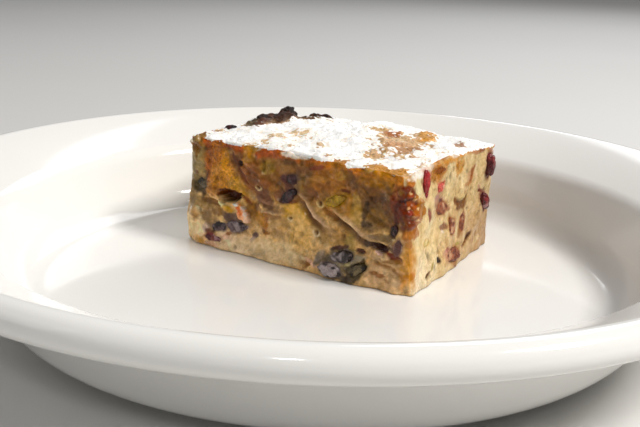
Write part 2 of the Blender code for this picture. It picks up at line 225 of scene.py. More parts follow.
def make_piece(name: str, points: Array, faces: list, material: bpy.types.Material) -> bpy.types.Object:
    """A smooth-shaded mesh object at the origin that rides on the part's body.

    Args:
        name: the piece's name.
        points: (n, 3) in millimetres.
        faces: arrays of vertex numbers, one for each number of corners.
        material: its finish.

    Returns:
        The object.
    """
    corners = np.concatenate([part.reshape(-1) for part in faces]).astype(np.int32)
    sizes = np.concatenate([np.full(len(part), part.shape[1]) for part in faces])
    starts = np.concatenate([[0], np.cumsum(sizes)[:-1]]).astype(np.int32)
    mesh = bpy.data.meshes.new(name)
    mesh.vertices.add(len(points))
    mesh.vertices.foreach_set("co", (points * MM).astype(np.float32).ravel())
    mesh.loops.add(len(corners))
    mesh.loops.foreach_set("vertex_index", corners)
    mesh.polygons.add(len(sizes))
    mesh.polygons.foreach_set("loop_start", starts)
    mesh.update(calc_edges=True)
    mesh.shade_smooth()
    mesh.materials.append(material)
    piece = bpy.data.objects.new(name, mesh)
    bpy.context.scene.collection.objects.link(piece)
    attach(piece, BODY)
    log.info("%s: %d vertices, %d faces", name, len(points), len(sizes))
    return piece


def add_values(piece: bpy.types.Object, name: str, values: Array) -> None:
    """Store one number, or one linear colour, for each vertex under that name."""
    coloured = values.ndim == 2
    kind = "FLOAT_COLOR" if coloured else "FLOAT"
    attribute = piece.data.attributes.new(name, kind, "POINT")
    if coloured:
        values = np.hstack([values, np.ones((len(values), 1))])
    attribute.data.foreach_set("color" if coloured else "value", values.astype(np.float32).ravel())


# ------------------------------------------------------------------ materials


def linear(code: str) -> Array:
    """The linear colour of an sRGB hex code."""
    srgb = np.array([int(code[i : i + 2], 16) for i in (1, 3, 5)]) / 255
    return np.where(srgb <= 0.04045, srgb / 12.92, ((srgb + 0.055) / 1.055) ** 2.4)


def per_mm(size: float) -> float:
    """A texture's scale for features of that size in millimetres."""
    return 1.0 / (size * MM)


def add(tree: bpy.types.NodeTree, kind: str, inputs: dict, **settings: object) -> bpy.types.Node:
    """Add a shader node with its settings, its input values and its links.

    Args:
        tree: the material's nodes.
        kind: the node's type, without its ShaderNode prefix.
        inputs: by name or number, a value or the output socket to link.
        settings: the node's own properties.

    Returns:
        The node.
    """
    node = tree.nodes.new("ShaderNode" + kind)
    for name, value in settings.items():
        setattr(node, name, value)
    for name, value in inputs.items():
        if isinstance(value, bpy.types.NodeSocket):
            tree.links.new(value, node.inputs[name])
        else:
            node.inputs[name].default_value = value
    return node


def rgba(code: str) -> tuple:
    """A socket's colour from an sRGB hex code."""
    return (*linear(code), 1.0)


def new_material(name: str) -> tuple:
    """An empty node material.

    Returns:
        The material, its node tree and its object coordinates.
    """
    material = bpy.data.materials.new(name)
    material.use_nodes = True
    material.node_tree.nodes.clear()
    tree = material.node_tree
    return material, tree, add(tree, "TexCoord", {}).outputs["Object"]


def close(tree: bpy.types.NodeTree, inputs: dict) -> None:
    """End a material in one Principled shader with these inputs."""
    shader = add(tree, "BsdfPrincipled", inputs)
    add(tree, "OutputMaterial", {"Surface": shader.outputs["BSDF"]})


@dataclass(frozen=True)
class GlazedPorcelain:
    """Tableware porcelain, turned and glazed: a deep even gloss over white, faintly wavy."""

    body: str = "#EFEEEB"
    pooled: str = "#E9E8E4"
    roughness: float = 0.075
    ior: float = 1.52
    wave_mm: float = 11.0

    def material(self) -> bpy.types.Material:
        """White with a slow drift in tone, and the glaze's slight orange peel as bump."""
        material, tree, place = new_material("glazed_porcelain")
        drift = add(tree, "TexNoise", {"Vector": place, "Scale": per_mm(60.0), "Detail": 2.0})
        tone = add(
            tree, "Mix", {0: drift.outputs["Fac"], 6: rgba(self.body), 7: rgba(self.pooled)}, data_type="RGBA"
        )
        wave = add(tree, "TexNoise", {"Vector": place, "Scale": per_mm(self.wave_mm), "Detail": 1.0})
        bump = add(tree, "Bump", {"Strength": 0.06, "Distance": 0.2 * MM, "Height": wave.outputs["Fac"]})
        gloss = add(
            tree,
            "MapRange",
            {"Value": drift.outputs["Fac"], "To Min": self.roughness, "To Max": self.roughness + 0.04},
        )
        inputs = {
            "Base Color": tone.outputs[2],
            "Roughness": gloss.outputs["Result"],
            "IOR": self.ior,
            "Normal": bump.outputs["Normal"],
        }
        close(tree, inputs)
        return material


@dataclass(frozen=True)
class BareBisque:
    """The foot's ground ring, where porcelain has no glaze: matt and slightly grey."""

    body: str = "#CFC9BF"
    worn: str = "#B9B2A6"
    grit_mm: float = 0.6

    def material(self) -> bpy.types.Material:
        """Matt with fine grit."""
        material, tree, place = new_material("unglazed_bisque_foot")
        grit = add(tree, "TexNoise", {"Vector": place, "Scale": per_mm(self.grit_mm), "Detail": 3.0})
        tone = add(
            tree, "Mix", {0: grit.outputs["Fac"], 6: rgba(self.body), 7: rgba(self.worn)}, data_type="RGBA"
        )
        bump = add(tree, "Bump", {"Strength": 0.3, "Distance": 0.1 * MM, "Height": grit.outputs["Fac"]})
        close(
            tree, {"Base Color": tone.outputs[2], "Roughness": 0.8, "Normal": bump.outputs["Normal"]}
        )
        return material


@dataclass(frozen=True)
class SoakedBread:
    """Bread set in baked custard: moist and softly translucent, smooth where custard fills it.

    The skin's own values drive it: tint is the colour, wet the moisture, crumb the open texture and
    dust the share of icing sugar that lies thinly on it.
    """

    name: str = "custard_soaked_bread"
    grain_mm: float = 0.7
    fleck_mm: float = 2.1
    pore_mm: float = 1.1
    powder: str = "#F8F5EF"
    powder_mm: float = 0.6
    dry: float = 0.6
    moist: float = 0.12
    subsurface: float = 0.2
    depth_mm: float = 1.3
    relief_mm: float = 0.36

    def material(self) -> bpy.types.Material:
        """Flecked tint, pores darkened as painted shade where the crumb is open, specks of sugar, and a moist
        gloss.
        """
        material, tree, place = new_material(self.name)
        tint = add(tree, "Attribute", {}, attribute_name="tint").outputs["Color"]
        wet = add(tree, "Attribute", {}, attribute_name="wet").outputs["Fac"]
        crumb = add(tree, "Attribute", {}, attribute_name="crumb").outputs["Fac"]
        dust = add(tree, "Attribute", {}, attribute_name="dust").outputs["Fac"]
        grain = add(tree, "TexNoise", {"Vector": place, "Scale": per_mm(self.grain_mm), "Detail": 3.0})
        fleck = add(
            tree, "TexNoise",
            {"Vector": place, "Scale": per_mm(self.fleck_mm), "Detail": 4.0, "Distortion": 0.6},
        )
        cell = add(tree, "TexVoronoi", {"Vector": place, "Scale": per_mm(self.pore_mm)})
        open_crumb = add(tree, "MapRange", {"Value": crumb, 1: 0.5, 2: 1.0})
        pore = add(tree, "MapRange", {"Value": cell.outputs["Distance"], 1: 0.14, 2: 0.4, 3: 0.62, 4: 1.0})
        pitted = add(
            tree, "Mix", {0: open_crumb.outputs["Result"], 2: 1.0, 3: pore.outputs["Result"]},
            data_type="FLOAT",
        )
        swing = add(tree, "MapRange", {"Value": grain.outputs["Fac"], 1: 0.3, 2: 0.7, 3: -0.3, 4: 0.3})
        drift = add(tree, "MapRange", {"Value": fleck.outputs["Fac"], 1: 0.3, 2: 0.7, 3: 0.8, 4: 1.19})
        uneven = add(
            tree, "Math", {0: swing.outputs["Result"], 1: crumb, 2: drift.outputs["Result"]},
            operation="MULTIPLY_ADD",
        )
        # Painted shade: the colour darkened in the pores where the crumb is open.
        value = add(tree, "Math", {0: uneven.outputs["Value"], 1: pitted.outputs[0]}, operation="MULTIPLY")
        richer = add(tree, "MapRange", {"Value": fleck.outputs["Fac"], 1: 0.3, 2: 0.7, 3: 1.1, 4: 0.94})
        bread = add(
            tree, "HueSaturation",
            {"Color": tint, "Value": value.outputs["Value"], "Saturation": richer.outputs["Result"]},
        )
        speck = add(
            tree, "TexNoise", {"Vector": place, "Scale": per_mm(self.powder_mm), "Detail": 2.0}
        )
        reach = add(tree, "Math", {0: speck.outputs["Fac"], 1: dust}, operation="ADD")
        cover = add(tree, "MapRange", {"Value": reach.outputs["Value"], 1: 0.9, 2: 1.12})
        colour = add(
            tree, "Mix", {0: cover.outputs["Result"], 6: bread.outputs["Color"], 7: rgba(self.powder)},
            data_type="RGBA",
        )
        height = add(tree, "Math", {0: grain.outputs["Fac"], 1: pitted.outputs[0]}, operation="MULTIPLY")
        amount = add(tree, "MapRange", {"Value": crumb, "To Min": 0.12, "To Max": 0.9})
        bump = add(
            tree,
            "Bump",
            {
                "Strength": amount.outputs["Result"],
                "Distance": self.relief_mm * MM,
                "Height": height.outputs["Value"],
            },
        )
        damp = add(tree, "MapRange", {"Value": wet, "To Min": self.dry, "To Max": self.moist})
        rough = add(
            tree, "Math", {0: cover.outputs["Result"], 1: 0.5, 2: damp.outputs["Result"]},
            operation="MULTIPLY_ADD", use_clamp=True,
        )
        inputs = {
            "Base Color": colour.outputs[2],
            "Roughness": rough.outputs["Value"],
            "IOR": 1.34,
            "Subsurface Weight": self.subsurface,
            "Subsurface Radius": (1.0, 0.5, 0.22),
            "Subsurface Scale": self.depth_mm * MM,
            "Normal": bump.outputs["Normal"],
        }
        close(tree, inputs)
        return material


@dataclass(frozen=True)
class IcingSugar:
    """Sifted icing sugar: a matt, bright white powder whose grains show as a soft roughness."""

    powder: str = "#FCFBF8"
    damp: str = "#E8D6BC"
    grain_mm: float = 0.4

    def material(self) -> bpy.types.Material:
        """White powder, a touch warmer where it has drawn moisture from the crust."""
        material, tree, place = new_material("icing_sugar")
        grain = add(tree, "TexNoise", {"Vector": place, "Scale": per_mm(self.grain_mm), "Detail": 3.0})
        drift = add(tree, "TexNoise", {"Vector": place, "Scale": per_mm(3.0), "Detail": 2.0})
        thin = add(tree, "Attribute", {}, attribute_name="thin").outputs["Fac"]
        share = add(tree, "MapRange", {"Value": drift.outputs["Fac"], 1: 0.4, 2: 0.65, 3: 0.1, 4: 1.0})
        stain = add(tree, "Math", {0: share.outputs["Result"], 1: thin}, operation="MULTIPLY")
        tone = add(
            tree, "Mix", {0: stain.outputs["Value"], 6: rgba(self.powder), 7: rgba(self.damp)},
            data_type="RGBA",
        )
        bump = add(tree, "Bump", {"Strength": 0.3, "Distance": 0.12 * MM, "Height": grain.outputs["Fac"]})
        inputs = {
            "Base Color": tone.outputs[2],
            "Roughness": 0.9,
            "Subsurface Weight": 0.5,
            "Subsurface Radius": (1.0, 0.97, 0.93),
            "Subsurface Scale": 0.8 * MM,
            "Normal": bump.outputs["Normal"],
        }
        close(tree, inputs)
        return material


@dataclass(frozen=True)
class FruitSkin:
    """Dried fruit swollen by custard: a wrinkled, shiny skin, partly under a pale milky film.

    The piece's own tint carries the dark, light and film colours.
    """

    name: str
    dark: str
    light: str
    film: str
    film_share: float = 0.3
    bed: str = "#6E4A30"
    roughness: float = 0.28
    subsurface: float = 0.1
    wrinkle_mm: float = 1.1

    def material(self) -> bpy.types.Material:
        """The tint with fine mottling, and wrinkles as bump that also break up the gloss."""
        material, tree, place = new_material(self.name)
        tint = add(tree, "Attribute", {}, attribute_name="tint").outputs["Color"]
        wrinkle = add(
            tree, "TexNoise",
            {"Vector": place, "Scale": per_mm(self.wrinkle_mm), "Detail": 4.0, "Distortion": 1.6},
        )
        value = add(tree, "MapRange", {"Value": wrinkle.outputs["Fac"], 1: 0.3, 2: 0.7, 3: 0.7, 4: 1.3})
        colour = add(tree, "HueSaturation", {"Color": tint, "Value": value.outputs["Result"]})
        bump = add(tree, "Bump", {"Strength": 0.6, "Distance": 0.35 * MM, "Height": wrinkle.outputs["Fac"]})
        gloss = add(
            tree,
            "MapRange",
            {
                "Value": wrinkle.outputs["Fac"],
                "To Min": self.roughness - 0.1,
                "To Max": self.roughness + 0.14,
            },
        )
        inputs = {
            "Base Color": colour.outputs["Color"],
            "Roughness": gloss.outputs["Result"],
            "IOR": 1.37,
            "Subsurface Weight": self.subsurface,
            "Subsurface Radius": (1.0, 0.35, 0.15),
            "Subsurface Scale": 1.2 * MM,
            "Normal": bump.outputs["Normal"],
        }
        close(tree, inputs)
        return material

    def tint(self, places: Array) -> Array:
        """Linear colours at places: dark to light by smeared noise, then the film in soft patches."""
        share = ramp(marbled(places, 2.2, 81), -0.4, 0.6)[:, None]
        skin = mix(linear(self.dark), linear(self.light), share)
        edge = 0.75 - 1.5 * self.film_share
        veil = ramp(marbled(places, 3.0, 82, 2), edge, edge + 0.35)[:, None]
        return mix(skin, linear(self.film), 0.8 * veil)


# ------------------------------------------------------------------ plate


@dataclass
class Plate:
    """The deep rimmed plate, a turned profile with a rolled lip and a foot ring."""

    radius: float = 140.0
    lip_radius: float = 4.3
    floor_top: float = 8.0
    wall: float = 4.5
    well_radius: float = 101.0
    rim_inner_radius: float = 110.6
    rim_inner_up: float = 23.7
    lip_up: float = 35.7
    foot_radius: float = 90.0
    foot_width: float = 6.0
    foot_height: float = 3.5
    segments: int = 288
    finish: GlazedPorcelain = GlazedPorcelain()
    foot_finish: BareBisque = BareBisque()

    def rounded(self, corners: list) -> Array:
        """An outline whose corners are turned into arcs.

        Args:
            corners: (r, z, fillet radius, steps) for each; a radius of 0 keeps the corner.

        Returns:
            The outline's points, (n, 2).
        """
        points = []
        for index, (r, z, radius, steps) in enumerate(corners):
            here = Vector((r, z))
            if radius == 0:
                points.append(here)
                continue
            before = (Vector(corners[index - 1][:2]) - here).normalized()
            after = (Vector(corners[index + 1][:2]) - here).normalized()
            half = before.angle(after) / 2
            middle = here + (before + after).normalized() * radius / math.sin(half)
            start = here + before * radius / math.tan(half) - middle
            end = here + after * radius / math.tan(half) - middle
            points += [middle + start.slerp(end, step / steps) * radius for step in range(steps + 1)]
        return np.array(points)

    def profile(self) -> Array:
        """The outline from the middle of the floor out over the lip and back under the foot."""
        top = self.floor_top
        slope = (self.lip_up - self.rim_inner_up) / (self.radius - self.lip_radius - self.rim_inner_radius)
        bead = np.array([self.radius - self.lip_radius, top + self.lip_up - self.lip_radius])
        inside = self.rounded(
            [
                (0.0, top, 0, 0),
                (0.45 * self.well_radius, top, 0, 0),
                (self.well_radius, top, 14.0, 14),
                (self.rim_inner_radius, top + self.rim_inner_up, 9.0, 9),
                (bead[0], top + self.lip_up + slope, 0, 0),
            ]
        )[:-1]
        angles = np.radians(np.linspace(112, -98, 22))
        lip = bead + np.stack([np.cos(angles), np.sin(angles)], axis=1) * self.lip_radius
        under = self.rounded(
            [
                (*lip[-1], 0, 0),
                (self.rim_inner_radius + self.wall, top + self.rim_inner_up - self.wall, 5.0, 6),
                (self.well_radius + self.wall * 0.6, self.foot_height, 14.0, 8),
                (self.foot_radius + 1.0, self.foot_height, 0.8, 3),
                (self.foot_radius, 0.0, 0.7, 3),
                (self.foot_radius - self.foot_width, 0.0, 0.7, 3),
                (self.foot_radius - self.foot_width - 1.0, self.foot_height, 0.8, 3),
                (0.0, self.foot_height, 0, 0),
            ]
        )[1:]
        return np.vstack([inside, lip, under])

    def build(self) -> None:
        """Turn the profile: each point's radius is carried round a circle at its height."""
        profile = self.profile()
        turn = np.linspace(0, 2 * np.pi, self.segments, endpoint=False)
        ring = np.stack([np.cos(turn), np.sin(turn)], axis=1)
        body = profile[1:-1]
        flat = body[:, None, 0:1] * ring[None]
        high = np.broadcast_to(body[:, None, 1:2], (*flat.shape[:2], 1))
        points = np.concatenate([flat, high], axis=2).reshape(-1, 3)
        index = np.arange(len(points)).reshape(len(body), -1)
        index = np.hstack([index, index[:, :1]])
        poles = [[0.0, 0.0, profile[0, 1]], [0.0, 0.0, profile[-1, 1]]]
        first, last = len(points), len(points) + 1
        inner, outer = index[0], index[-1]
        caps = [
            np.stack([np.full(self.segments, first), inner[:-1], inner[1:]], axis=1),
            np.stack([np.full(self.segments, last), outer[1:], outer[:-1]], axis=1),
        ]
        faces = [grid_quads(index), *caps]
        plate = make_piece("porcelain_plate", np.vstack([points, poles]), faces, self.finish.material())
        plate.data.materials.append(self.foot_finish.material())
        low = np.array([polygon.center.z < 0.5 * MM for polygon in plate.data.polygons])
        plate.data.polygons.foreach_set("material_index", low.astype(np.int32))
        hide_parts("plate")


# ------------------------------------------------------------------ slab


@dataclass(frozen=True)
class Patch:
    """A soft-edged spot on the slab, with what it does to colour, moisture, texture and relief.

    Place and half sizes are along the side and up it, or x and y on the top. Rise is outward.
    """

    side: Side
    along: float
    up: float
    half_length: float
    half_height: float
    colour: str
    strength: float = 0.8
    tilt: float = 0.0
    rise: float = 0.0
    wet: float = 0.0
    crumb: float = 0.0
    ragged: float = 0.55
    edge: float = 0.3


@dataclass(frozen=True)
class Fold:
    """A fold of soaked bread: a ridge on the left of its path, pale in tone and with a painted highlight,
    over a crease on the right painted dark as shade.

    Ridge and crease are their height and depth in millimetres, and width sets how broad both are.
    """

    side: Side
    path: tuple
    ridge: float
    crease: float
    width: float
    ridge_tone_and_highlight: str
    crease_shade_colour: str


@dataclass
class Slab:
    """The shape of the cut slab, the same as its solid's, worked out at any place."""

    base_corners: tuple = ((-64.3, 1.5), (34.3, -0.8), (30.2, 69.0), (-61.0, 68.0))
    top_corners: tuple = ((-64.4, 3.0), (28.4, 0.4), (31.7, 66.0), (-61.5, 67.0))
    corner_up: tuple = (39.3, 38.9, 39.5, 39.6)
    edge_lift: tuple = (0.7, 1.4, 1.8, 1.0)
    corner_round: tuple = (4.0, 1.6, 2.0, 4.0)
    corner_cut: float = 0.29
    top_round: float = 1.6
    top_cut: float = 0.72
    relief_fade: float = 6.0
    foot_swell: tuple = (9.0, 12.0, 1.14)
    crown: float = 1.5
    swells: tuple = (
        (Side.FRONT, -58.0, 9.0, 9.0, 8.0, 1.6),
        (Side.FRONT, -43.0, 12.5, 8.0, 4.0, 1.3),
        (Side.FRONT, -38.0, 0.0, 26.0, 5.0, 2.6),
        (Side.FRONT, 6.0, 0.0, 26.0, 5.0, 2.4),
        (Side.FRONT, 4.0, 6.0, 9.0, 6.0, 1.3),
        (Side.FRONT, -20.0, 19.0, 8.0, 6.0, -0.8),
        (Side.FRONT, 20.0, 27.0, 9.0, 8.0, -0.9),
        (Side.FRONT, 25.0, 31.0, 5.0, 8.0, 0.9),
        (Side.RIGHT, 4.5, 31.0, 4.5, 9.0, 1.1),
        (Side.RIGHT, 40.0, 24.0, 14.0, 10.0, -0.5),
        (Side.RIGHT, 30.0, 3.0, 12.0, 6.0, 1.0),
        (Side.RIGHT, 62.0, 30.0, 6.0, 7.0, 1.2),
        (Side.BACK, -30.0, 12.0, 14.0, 8.0, 1.6),
        (Side.BACK, 6.0, 26.0, 12.0, 8.0, 1.1),
        (Side.LEFT, 22.0, 10.0, 14.0, 8.0, 1.8),
        (Side.LEFT, 50.0, 26.0, 10.0, 9.0, -0.9),
    )
    top_rises: tuple = (
        (-58.0, 9.0, 7.0, 1.3),
        (-46.0, 20.0, 9.0, 0.6),
        (-36.0, 40.0, 10.0, 0.5),
        (-14.0, 54.0, 11.0, 0.7),
        (2.0, 30.0, 9.0, 0.8),
        (8.0, 50.0, 7.0, 1.0),
        (21.0, 20.0, 7.0, 1.0),
        (24.5, 60.0, 6.5, 2.8),
        (-20.0, 22.0, 8.0, -0.8),
        (14.0, 37.0, 6.0, -0.9),
        (-55.0, 44.0, 9.0, 0.9),
    )

    def corner(self, number: int, top: bool = False) -> Array:
        """One corner of the base or of the top, in plan."""
        return np.array((self.top_corners if top else self.base_corners)[number % 4])

    def outward(self, side: int) -> Array:
        """Level unit normal of a side, pointing out of the slab."""
        along = self.corner(side + 1) - self.corner(side)
        along = along / np.linalg.norm(along)
        return np.array([along[1], -along[0], 0.0])

    def side_relief(self, side: int, along: Array, up: Array) -> Array:
        """How far a cut side stands out: two slow waves and the swells."""
        relief = 0.35 * np.sin(0.23 * along + side) * np.cos(0.31 * up + 1.7 * side)
        relief = relief + 0.25 * np.sin(0.53 * along - 0.38 * up + 2.0 * side)
        for where, middle, height, half_width, half_height, amount in self.swells:
            if where == side:
                away = np.hypot((along - middle) / half_width, (up - height) / half_height)
                relief = relief + amount * bell(away / 1.5)
        return relief

    def edge_up(self, side: int, t: Array) -> Array:
        """Height of the slab's top edge along a side: from corner to corner, with a slow wave."""
        lift = self.edge_lift[side] * np.sin(np.pi * t) + 0.4 * np.sin(5 * np.pi * t + side)
        straight = mix(self.corner_up[side], self.corner_up[(side + 1) % 4], t)
        return straight + lift * bell(2 * t - 1)

    def side_point(self, side: int, t: Array, level: Array) -> Array:
        """Points of a cut side.

        A side is ruled between its base edge and its top edge. Relief fades out towards the upright
        edges, which are rounded off along the diagonal, as the top edge is along the normal.

        Args:
            side: which side.
            t: share along it, 0 to 1.
            level: share up it, 0 to 1.

        Returns:
            (..., 3) places above the slab's base.
        """
        after = (side + 1) % 4
        edge = self.edge_up(side, t)
        up = edge * level
        base = mix(self.corner(side), self.corner(after), t[..., None])
        top = mix(self.corner(side, True), self.corner(after, True), t[..., None])
        flat = mix(base, top, level[..., None])
        length = np.linalg.norm(self.corner(after) - self.corner(side))
        starts = t < 0.5
        normal = self.outward(side)
        beside = np.where(starts[..., None], self.outward(side - 1), self.outward(after))
        along = flat[..., 0] if side in (Side.FRONT, Side.BACK) else flat[..., 1]
        from_corner = np.minimum(t, 1 - t) * length
        free = 1 - bell(from_corner / self.relief_fade)
        radius = np.where(starts, self.corner_round[side], self.corner_round[after])
        share = np.square(np.maximum(0.0, 1 - from_corner / radius))
        bulging = np.where(starts, side, after) == Side.FRONT
        middle, half_height, amount = self.foot_swell
        bulge = amount * bell((up - middle) / half_height) * bulging * (1 - free)
        top_share = np.square(np.maximum(0.0, 1 - (edge - up) / self.top_round))
        out = (self.side_relief(side, along, up) - self.top_cut * top_share) * free
        shift = normal * out[..., None]
        shift = shift + (normal + beside) * (bulge - self.corner_cut * radius * share)[..., None]
        return np.concatenate([flat, up[..., None]], axis=-1) + shift

    def top_rise(self, x: Array, y: Array, u: Array, v: Array) -> Array:
        """Rise of the baked top: a crown of two sine arches, slow waves and the stated rises."""
        arch = (np.maximum(np.sin(np.pi * u), 0) * np.maximum(np.sin(np.pi * v), 0)) ** 0.6
        free = np.minimum(1.0, 9 * np.minimum(np.minimum(u, v), np.minimum(1 - u, 1 - v)))
        lumps = 0.5 * np.sin(0.37 * x + 0.8) * np.cos(0.41 * y) + 0.35 * np.sin(0.71 * x - 0.52 * y)
        for middle_x, middle_y, half_width, amount in self.top_rises:
            lumps = lumps + amount * bell(np.hypot(x - middle_x, y - middle_y) / (1.5 * half_width))
        return self.crown * arch + lumps * free

    def top_points(self, u: Array, v: Array) -> Array:
        """Points of the baked top: the surface stretched between its four edges, plus its rise.

        Args:
            u: shares along x, (m,).
            v: shares along y, (n,).

        Returns:
            (m, n, 3) places above the slab's base.
        """
        full = [np.ones_like(u), np.ones_like(v)]
        front = self.side_point(Side.FRONT, u, full[0])[:, None]
        back = self.side_point(Side.BACK, 1 - u, full[0])[:, None]
        right = self.side_point(Side.RIGHT, v, full[1])[None]
        left = self.side_point(Side.LEFT, 1 - v, full[1])[None]
        ends = np.array([0.0, 1.0])
        near = self.side_point(Side.FRONT, ends, np.ones(2))
        far = self.side_point(Side.BACK, ends, np.ones(2))
        a, b = u[:, None, None], v[None, :, None]
        points = front * (1 - b) + back * b + left * (1 - a) + right * a
        points = points - near[0] * (1 - a) * (1 - b) - near[1] * a * (1 - b)
        points = points - far[0] * a * b - far[1] * (1 - a) * b
        points[..., 2] += self.top_rise(points[..., 0], points[..., 1], u[:, None], v[None])
        return points

    def margin(self, points: Array) -> Array:
        """How far inside the top's four straight edges each place is, in plan."""
        inside = []
        for side in range(4):
            start, end = self.corner(side, True), self.corner(side + 1, True)
            run = (end - start) / np.linalg.norm(end - start)
            away = points[:, :2] - start
            inside.append(run[0] * away[:, 1] - run[1] * away[:, 0])
        return np.min(inside, axis=0)

    def on_side(self, side: int, along: float, up: float) -> Array:
        """The place on a cut side at this distance along it and height."""
        axis = 0 if side in (Side.FRONT, Side.BACK) else 1
        start, end = self.corner(side)[axis], self.corner(side + 1)[axis]
        t = np.array([(along - start) / (end - start)])
        return self.side_point(side, t, up / self.edge_up(side, t))[0]


@dataclass
class Skin:
    """The slab's closed skin as one grid of rings with a top and a base, and its painted values."""

    slab: Slab
    cells_long: int = 204
    cells_short: int = 146
    levels: int = 84
    points: Array = field(init=False)
    quads: Array = field(init=False)
    caps: Array = field(init=False)
    normals: Array = field(init=False)
    region: Array = field(init=False)
    below: Array = field(init=False)
    tint: Array = field(init=False)
    wet: Array = field(init=False)
    crumb: Array = field(init=False)
    rise: Array = field(init=False)

    def shares(self, count: int) -> Array:
        """Shares from 0 to 1, a little closer together near both ends."""
        even = np.linspace(0, 1, count + 1)
        return mix(even, (1 - np.cos(np.pi * even)) / 2, 0.25)

    def __post_init__(self) -> None:
        """Lay the grid: rings of the four sides from base to top, the top's grid and a base fan."""
        long, short = self.shares(self.cells_long), self.shares(self.cells_short)
        level = np.linspace(0, 1, self.levels + 1)
        level = mix(level, level**0.8, 0.35)
        rings, region, below = [], [], []
        for side in range(4):
            t, high = np.meshgrid((long, short)[side % 2][:-1], level)
            rings.append(self.slab.side_point(side, t, high))
            region.append(np.full(t.shape, side))
            below.append(self.slab.edge_up(side, t) * (1 - high))
        rings = np.concatenate(rings, axis=1)
        count = rings.shape[1]
        ring_index = np.arange(rings.shape[0] * count).reshape(-1, count)
        top = self.slab.top_points(long, short)
        index = np.zeros(top.shape[:2], int)
        rim = ring_index[-1]
        index[1:-1, 1:-1] = ring_index.size + np.arange((len(long) - 2) * (len(short) - 2)).reshape(
            len(long) - 2, -1
        )
        index[:, 0] = rim[: len(long)]
        index[-1] = rim[self.cells_long : self.cells_long + len(short)]
        index[::-1, -1] = rim[self.cells_long + self.cells_short :][: len(long)]
        index[0, 1:] = rim[::-1][: self.cells_short]
        inner = top[1:-1, 1:-1].reshape(-1, 3)
        centre = np.array([[*rings[0].mean(axis=0)[:2], 0.0]])
        self.points = np.vstack([rings.reshape(-1, 3), inner, centre])
        closed = np.hstack([ring_index, ring_index[:, :1]])
        self.quads = np.vstack([grid_quads(closed.T), grid_quads(index)])
        low = closed[0]
        middle = np.full(count, len(self.points) - 1)
        self.caps = np.stack([low[1:], low[:-1], middle], axis=1)
        self.normals = vertex_normals(self.points, self.quads)
        self.normals[-1] = (0.0, 0.0, -1.0)
        extra = len(inner) + 1
        flat = [np.concatenate(part, axis=1).reshape(-1) for part in (region, below)]
        self.region = np.concatenate([flat[0], np.full(extra, int(Side.TOP))])
        self.below = np.concatenate([flat[1], np.zeros(extra)])
        self.rise = np.zeros(len(self.points))
        self.wet = np.full(len(self.points), 0.35)
        self.crumb = np.full(len(self.points), 0.4)
        self.tint = np.zeros_like(self.points)

    def paint(self, code: str, weight: Array) -> None:
        """Lay a colour over the skin where weight is above 0."""
        self.tint = mix(self.tint, linear(code), np.clip(weight, 0, 1)[:, None])

    def frame_at(self, patch: Patch) -> tuple:
        """A patch's middle and its three axes: along, across and out of the surface."""
        if patch.side == Side.TOP:
            near = np.hypot(self.points[:, 0] - patch.along, self.points[:, 1] - patch.up)
            middle = self.points[np.argmin(near + 99.0 * (self.region != Side.TOP))]
            along, across, out = np.eye(3)
        else:
            middle = self.slab.on_side(patch.side, patch.along, patch.up)
            out = self.slab.outward(patch.side)
            along = np.array([abs(out[1]), abs(out[0]), 0.0])
            across = np.array([0.0, 0.0, 1.0])
        tilt = math.radians(patch.tilt)
        length = along * math.cos(tilt) + across * math.sin(tilt)
        width = across * math.cos(tilt) - along * math.sin(tilt)
        return middle, length, width, out

    def cover(self, patch: Patch, depth: float = 2.6) -> Array:
        """How much a patch covers each vertex: its ellipse, with a ragged edge from noise.

        Args:
            patch: the spot.
            depth: how far it reaches in and out of a cut side; on the top it is always 6 mm.

        Returns:
            A share from 0 to 1 for each vertex.
        """
        middle, length, width, out = self.frame_at(patch)
        depth = 6.0 if patch.side == Side.TOP else depth
        away = self.points - middle
        flat = np.hypot(away @ length / patch.half_length, away @ width / patch.half_height)
        flat = np.hypot(flat, np.maximum(np.abs(away @ out) / depth - 0.4, 0.0))
        near = flat < 1.9
        weight = np.zeros(len(self.points))
        warp = marbled(self.points[near], 2.6, 11) + 0.5 * noise(self.points[near], 0.9, 12)
        border = 0.65 * patch.edge
        weight[near] = 1 - ramp(flat[near] + 0.5 * patch.ragged * warp, 1 - border, 1 + border)
        return weight

    def add_patch(self, patch: Patch) -> None:
        """Put a patch's colour, relief, moisture and texture on the skin."""
        weight = self.cover(patch)
        self.paint(patch.colour, weight * patch.strength)
        self.rise += patch.rise * weight
        self.wet = np.clip(self.wet + patch.wet * weight, 0, 1)
        self.crumb = np.clip(self.crumb + patch.crumb * weight, 0, 1)

    def add_fold(self, fold: Fold) -> None:
        """Raise a fold's ridge on one side of its path and sink its crease on the other, painting the ridge's
        highlight and the crease's shade.
        """
        here = self.region == fold.side
        axis = 0 if fold.side in (Side.FRONT, Side.BACK) else 1
        places = self.points[here][:, [axis, 2]]
        warp = 0.35 * fractal(self.points[here], 2.6, 21, 2)
        signed, share = beside_path(places, smooth_path(fold.path))
        fade = np.sqrt(np.clip(np.sin(np.pi * np.clip(share, 0.02, 0.98)), 0, 1))
        ridge = bell((signed + warp - 0.55 * fold.width) / (0.75 * fold.width)) * fade
        crease = bell((signed + warp + 0.65 * fold.width) / (1.1 * fold.width)) * fade
        self.rise[here] += fold.ridge * ridge - fold.crease * crease
        # Painted highlight along the ridge and painted shade in the crease.
        for colour, amount in ((fold.ridge_tone_and_highlight, 0.75 * ridge), (fold.crease_shade_colour, crease)):
            weight = np.zeros(len(self.points))
            weight[here] = amount
            self.paint(colour, weight)
        self.wet[here] = np.clip(self.wet[here] + 0.3 * ridge, 0, 1)


FRONT, RIGHT, BACK, LEFT, TOP = Side

